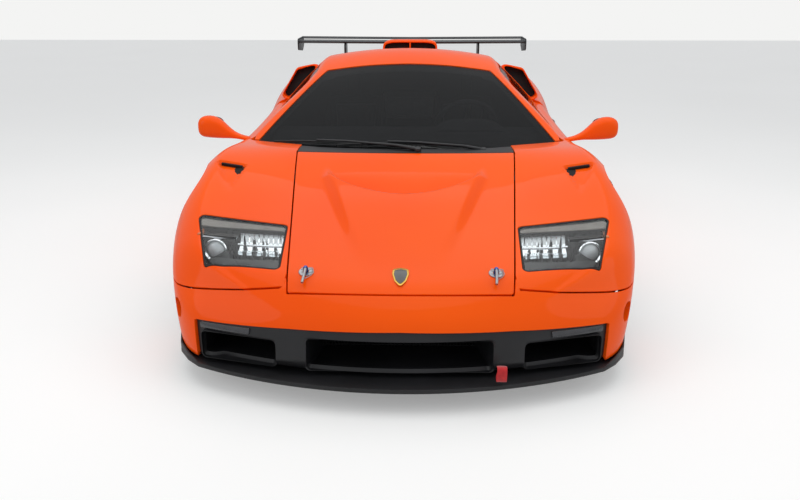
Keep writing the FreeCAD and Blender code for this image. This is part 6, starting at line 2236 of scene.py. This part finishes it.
def slat_bank(x, y0, y1, width, count):
    """Slats that follow the lid from y0 to y1."""
    z0, z1 = (deck_z(x, y) + 0.004 for y in (y0, y1))
    return mesh_shape(from_nodes(slat_tree(), Start=(x, y0, z0), End=(x, y1, z1), Count=count, Tilt=0.55,
                                 Size=(width, 0.045, 0.003), Material=BLACK))


BED_PLACE = (0.345, 1.250)
BED_HALF = (0.120, 0.330)
BED_CORNER = 0.020


def from_bed(p):
    return from_box(p[:, 0] - BED_PLACE[0], p[:, 1] - BED_PLACE[1], BED_HALF[0] - BED_CORNER,
                    BED_HALF[1] - BED_CORNER) - BED_CORNER


panel("slat_bed", grid_of(spaced(0.20, 0.49, 0.010), spaced(0.90, 1.60, 0.010),
                          upward(lambda p: rear_body(p) - 0.0015, 0.5)), [lambda p: -from_bed(p)], 0.004,
      "engine_lid", material=LINER, mirrored=True)
part("lid_slats", [slat_bank(BED_PLACE[0], 0.955, 1.545, 0.215, 12)], BLACK, "engine_lid", bevel=0.0008,
     mirrored=True)

# %% [markdown]
# Each rear wing has an intake ahead of the wheel, a hole in the panel with a dark duct behind it. The duct is
# the same form 52 mm further in, so it follows the wing. The doors get a flush handle.

# %% Side intakes and handles
INTAKE_GRID = grid_of(spaced(0.52, 1.04, 0.012), spaced(-30, 25, 1.5),
                      fanned(lambda p: rear_body(p) + 0.052, 0.33, 0.48))
panel("side_intake_duct", INTAKE_GRID, [lambda p: 0.030 - from_intake(p)], 0.004, "chassis",
      outward=(1, 0, 0), material=LINER, mirrored=True)


HANDLE = (0.36, 0.66)
HANDLE_X = float(hit_of((0.45, *HANDLE), (1, 0, 0), side_body)[0]) + 0.0005
part("door_handle", [moved(brick(-0.004, 0.004, -0.065, 0.065, -0.014, 0.014),
                           Matrix.Rotation(-0.45, 3, "Y").to_quaternion(),
                           (HANDLE_X, *HANDLE))], SEAL, "door", bevel=0.003, mirrored=True)


# %% [markdown]
# The CAD nodes that stay get the finish of what they are on the real car. Their meshes stay as they came,
# since they already have the true size and the right faces.

# %% Finishes of the carried-over nodes
NODE_FINISHES = {
    "tub": LINER, "frame_panels": LINER, "cabin_frame": PAINT, "dashboard": DASH,
    "windscreen": GLASS, "wipers": BLACK,
    "seat_left": CLOTH, "seat_right": CLOTH, "fender_left": PAINT, "fender_right": PAINT,
    "front_bumper": PAINT, "front_duct": BLACK, "front_splitter": BLACK, "tow_strap": STRAP,
    "headlamps": CHROME, "headlamp_covers": LENS, "quarter_left": PAINT, "quarter_right": PAINT,
    "rear_bumper": PAINT, "rear_panel": BLACK, "tail_lamps": RED_LENS, "diffuser": BLACK, "exhaust": STEEL,
    "rear_wing": CARBON, "engine": GREY_CAST, "front_suspension": STEEL, "rear_suspension": STEEL,
    "side_skirts": BLACK, "front_lid": PAINT, "engine_lid": PAINT, "roof_scoop": BLACK,
    "steering_wheel": BLACK,
}
for side in ("left", "right"):
    NODE_FINISHES.update({"door_" + side: PAINT, "door_glass_" + side: GLASS, "mirror_" + side: PAINT,
                          "knuckle_" + side: IRON})
    for end in ("front", "rear"):
        NODE_FINISHES.update({"rim_%s_%s" % (end, side): ALLOY, "tyre_%s_%s" % (end, side): RUBBER})
for name, kept_finish in NODE_FINISHES.items():
    node = frame["nodes"][name]
    node.data.materials.clear()
    node.data.materials.append(kept_finish)
print("nodes finished", len(NODE_FINISHES))
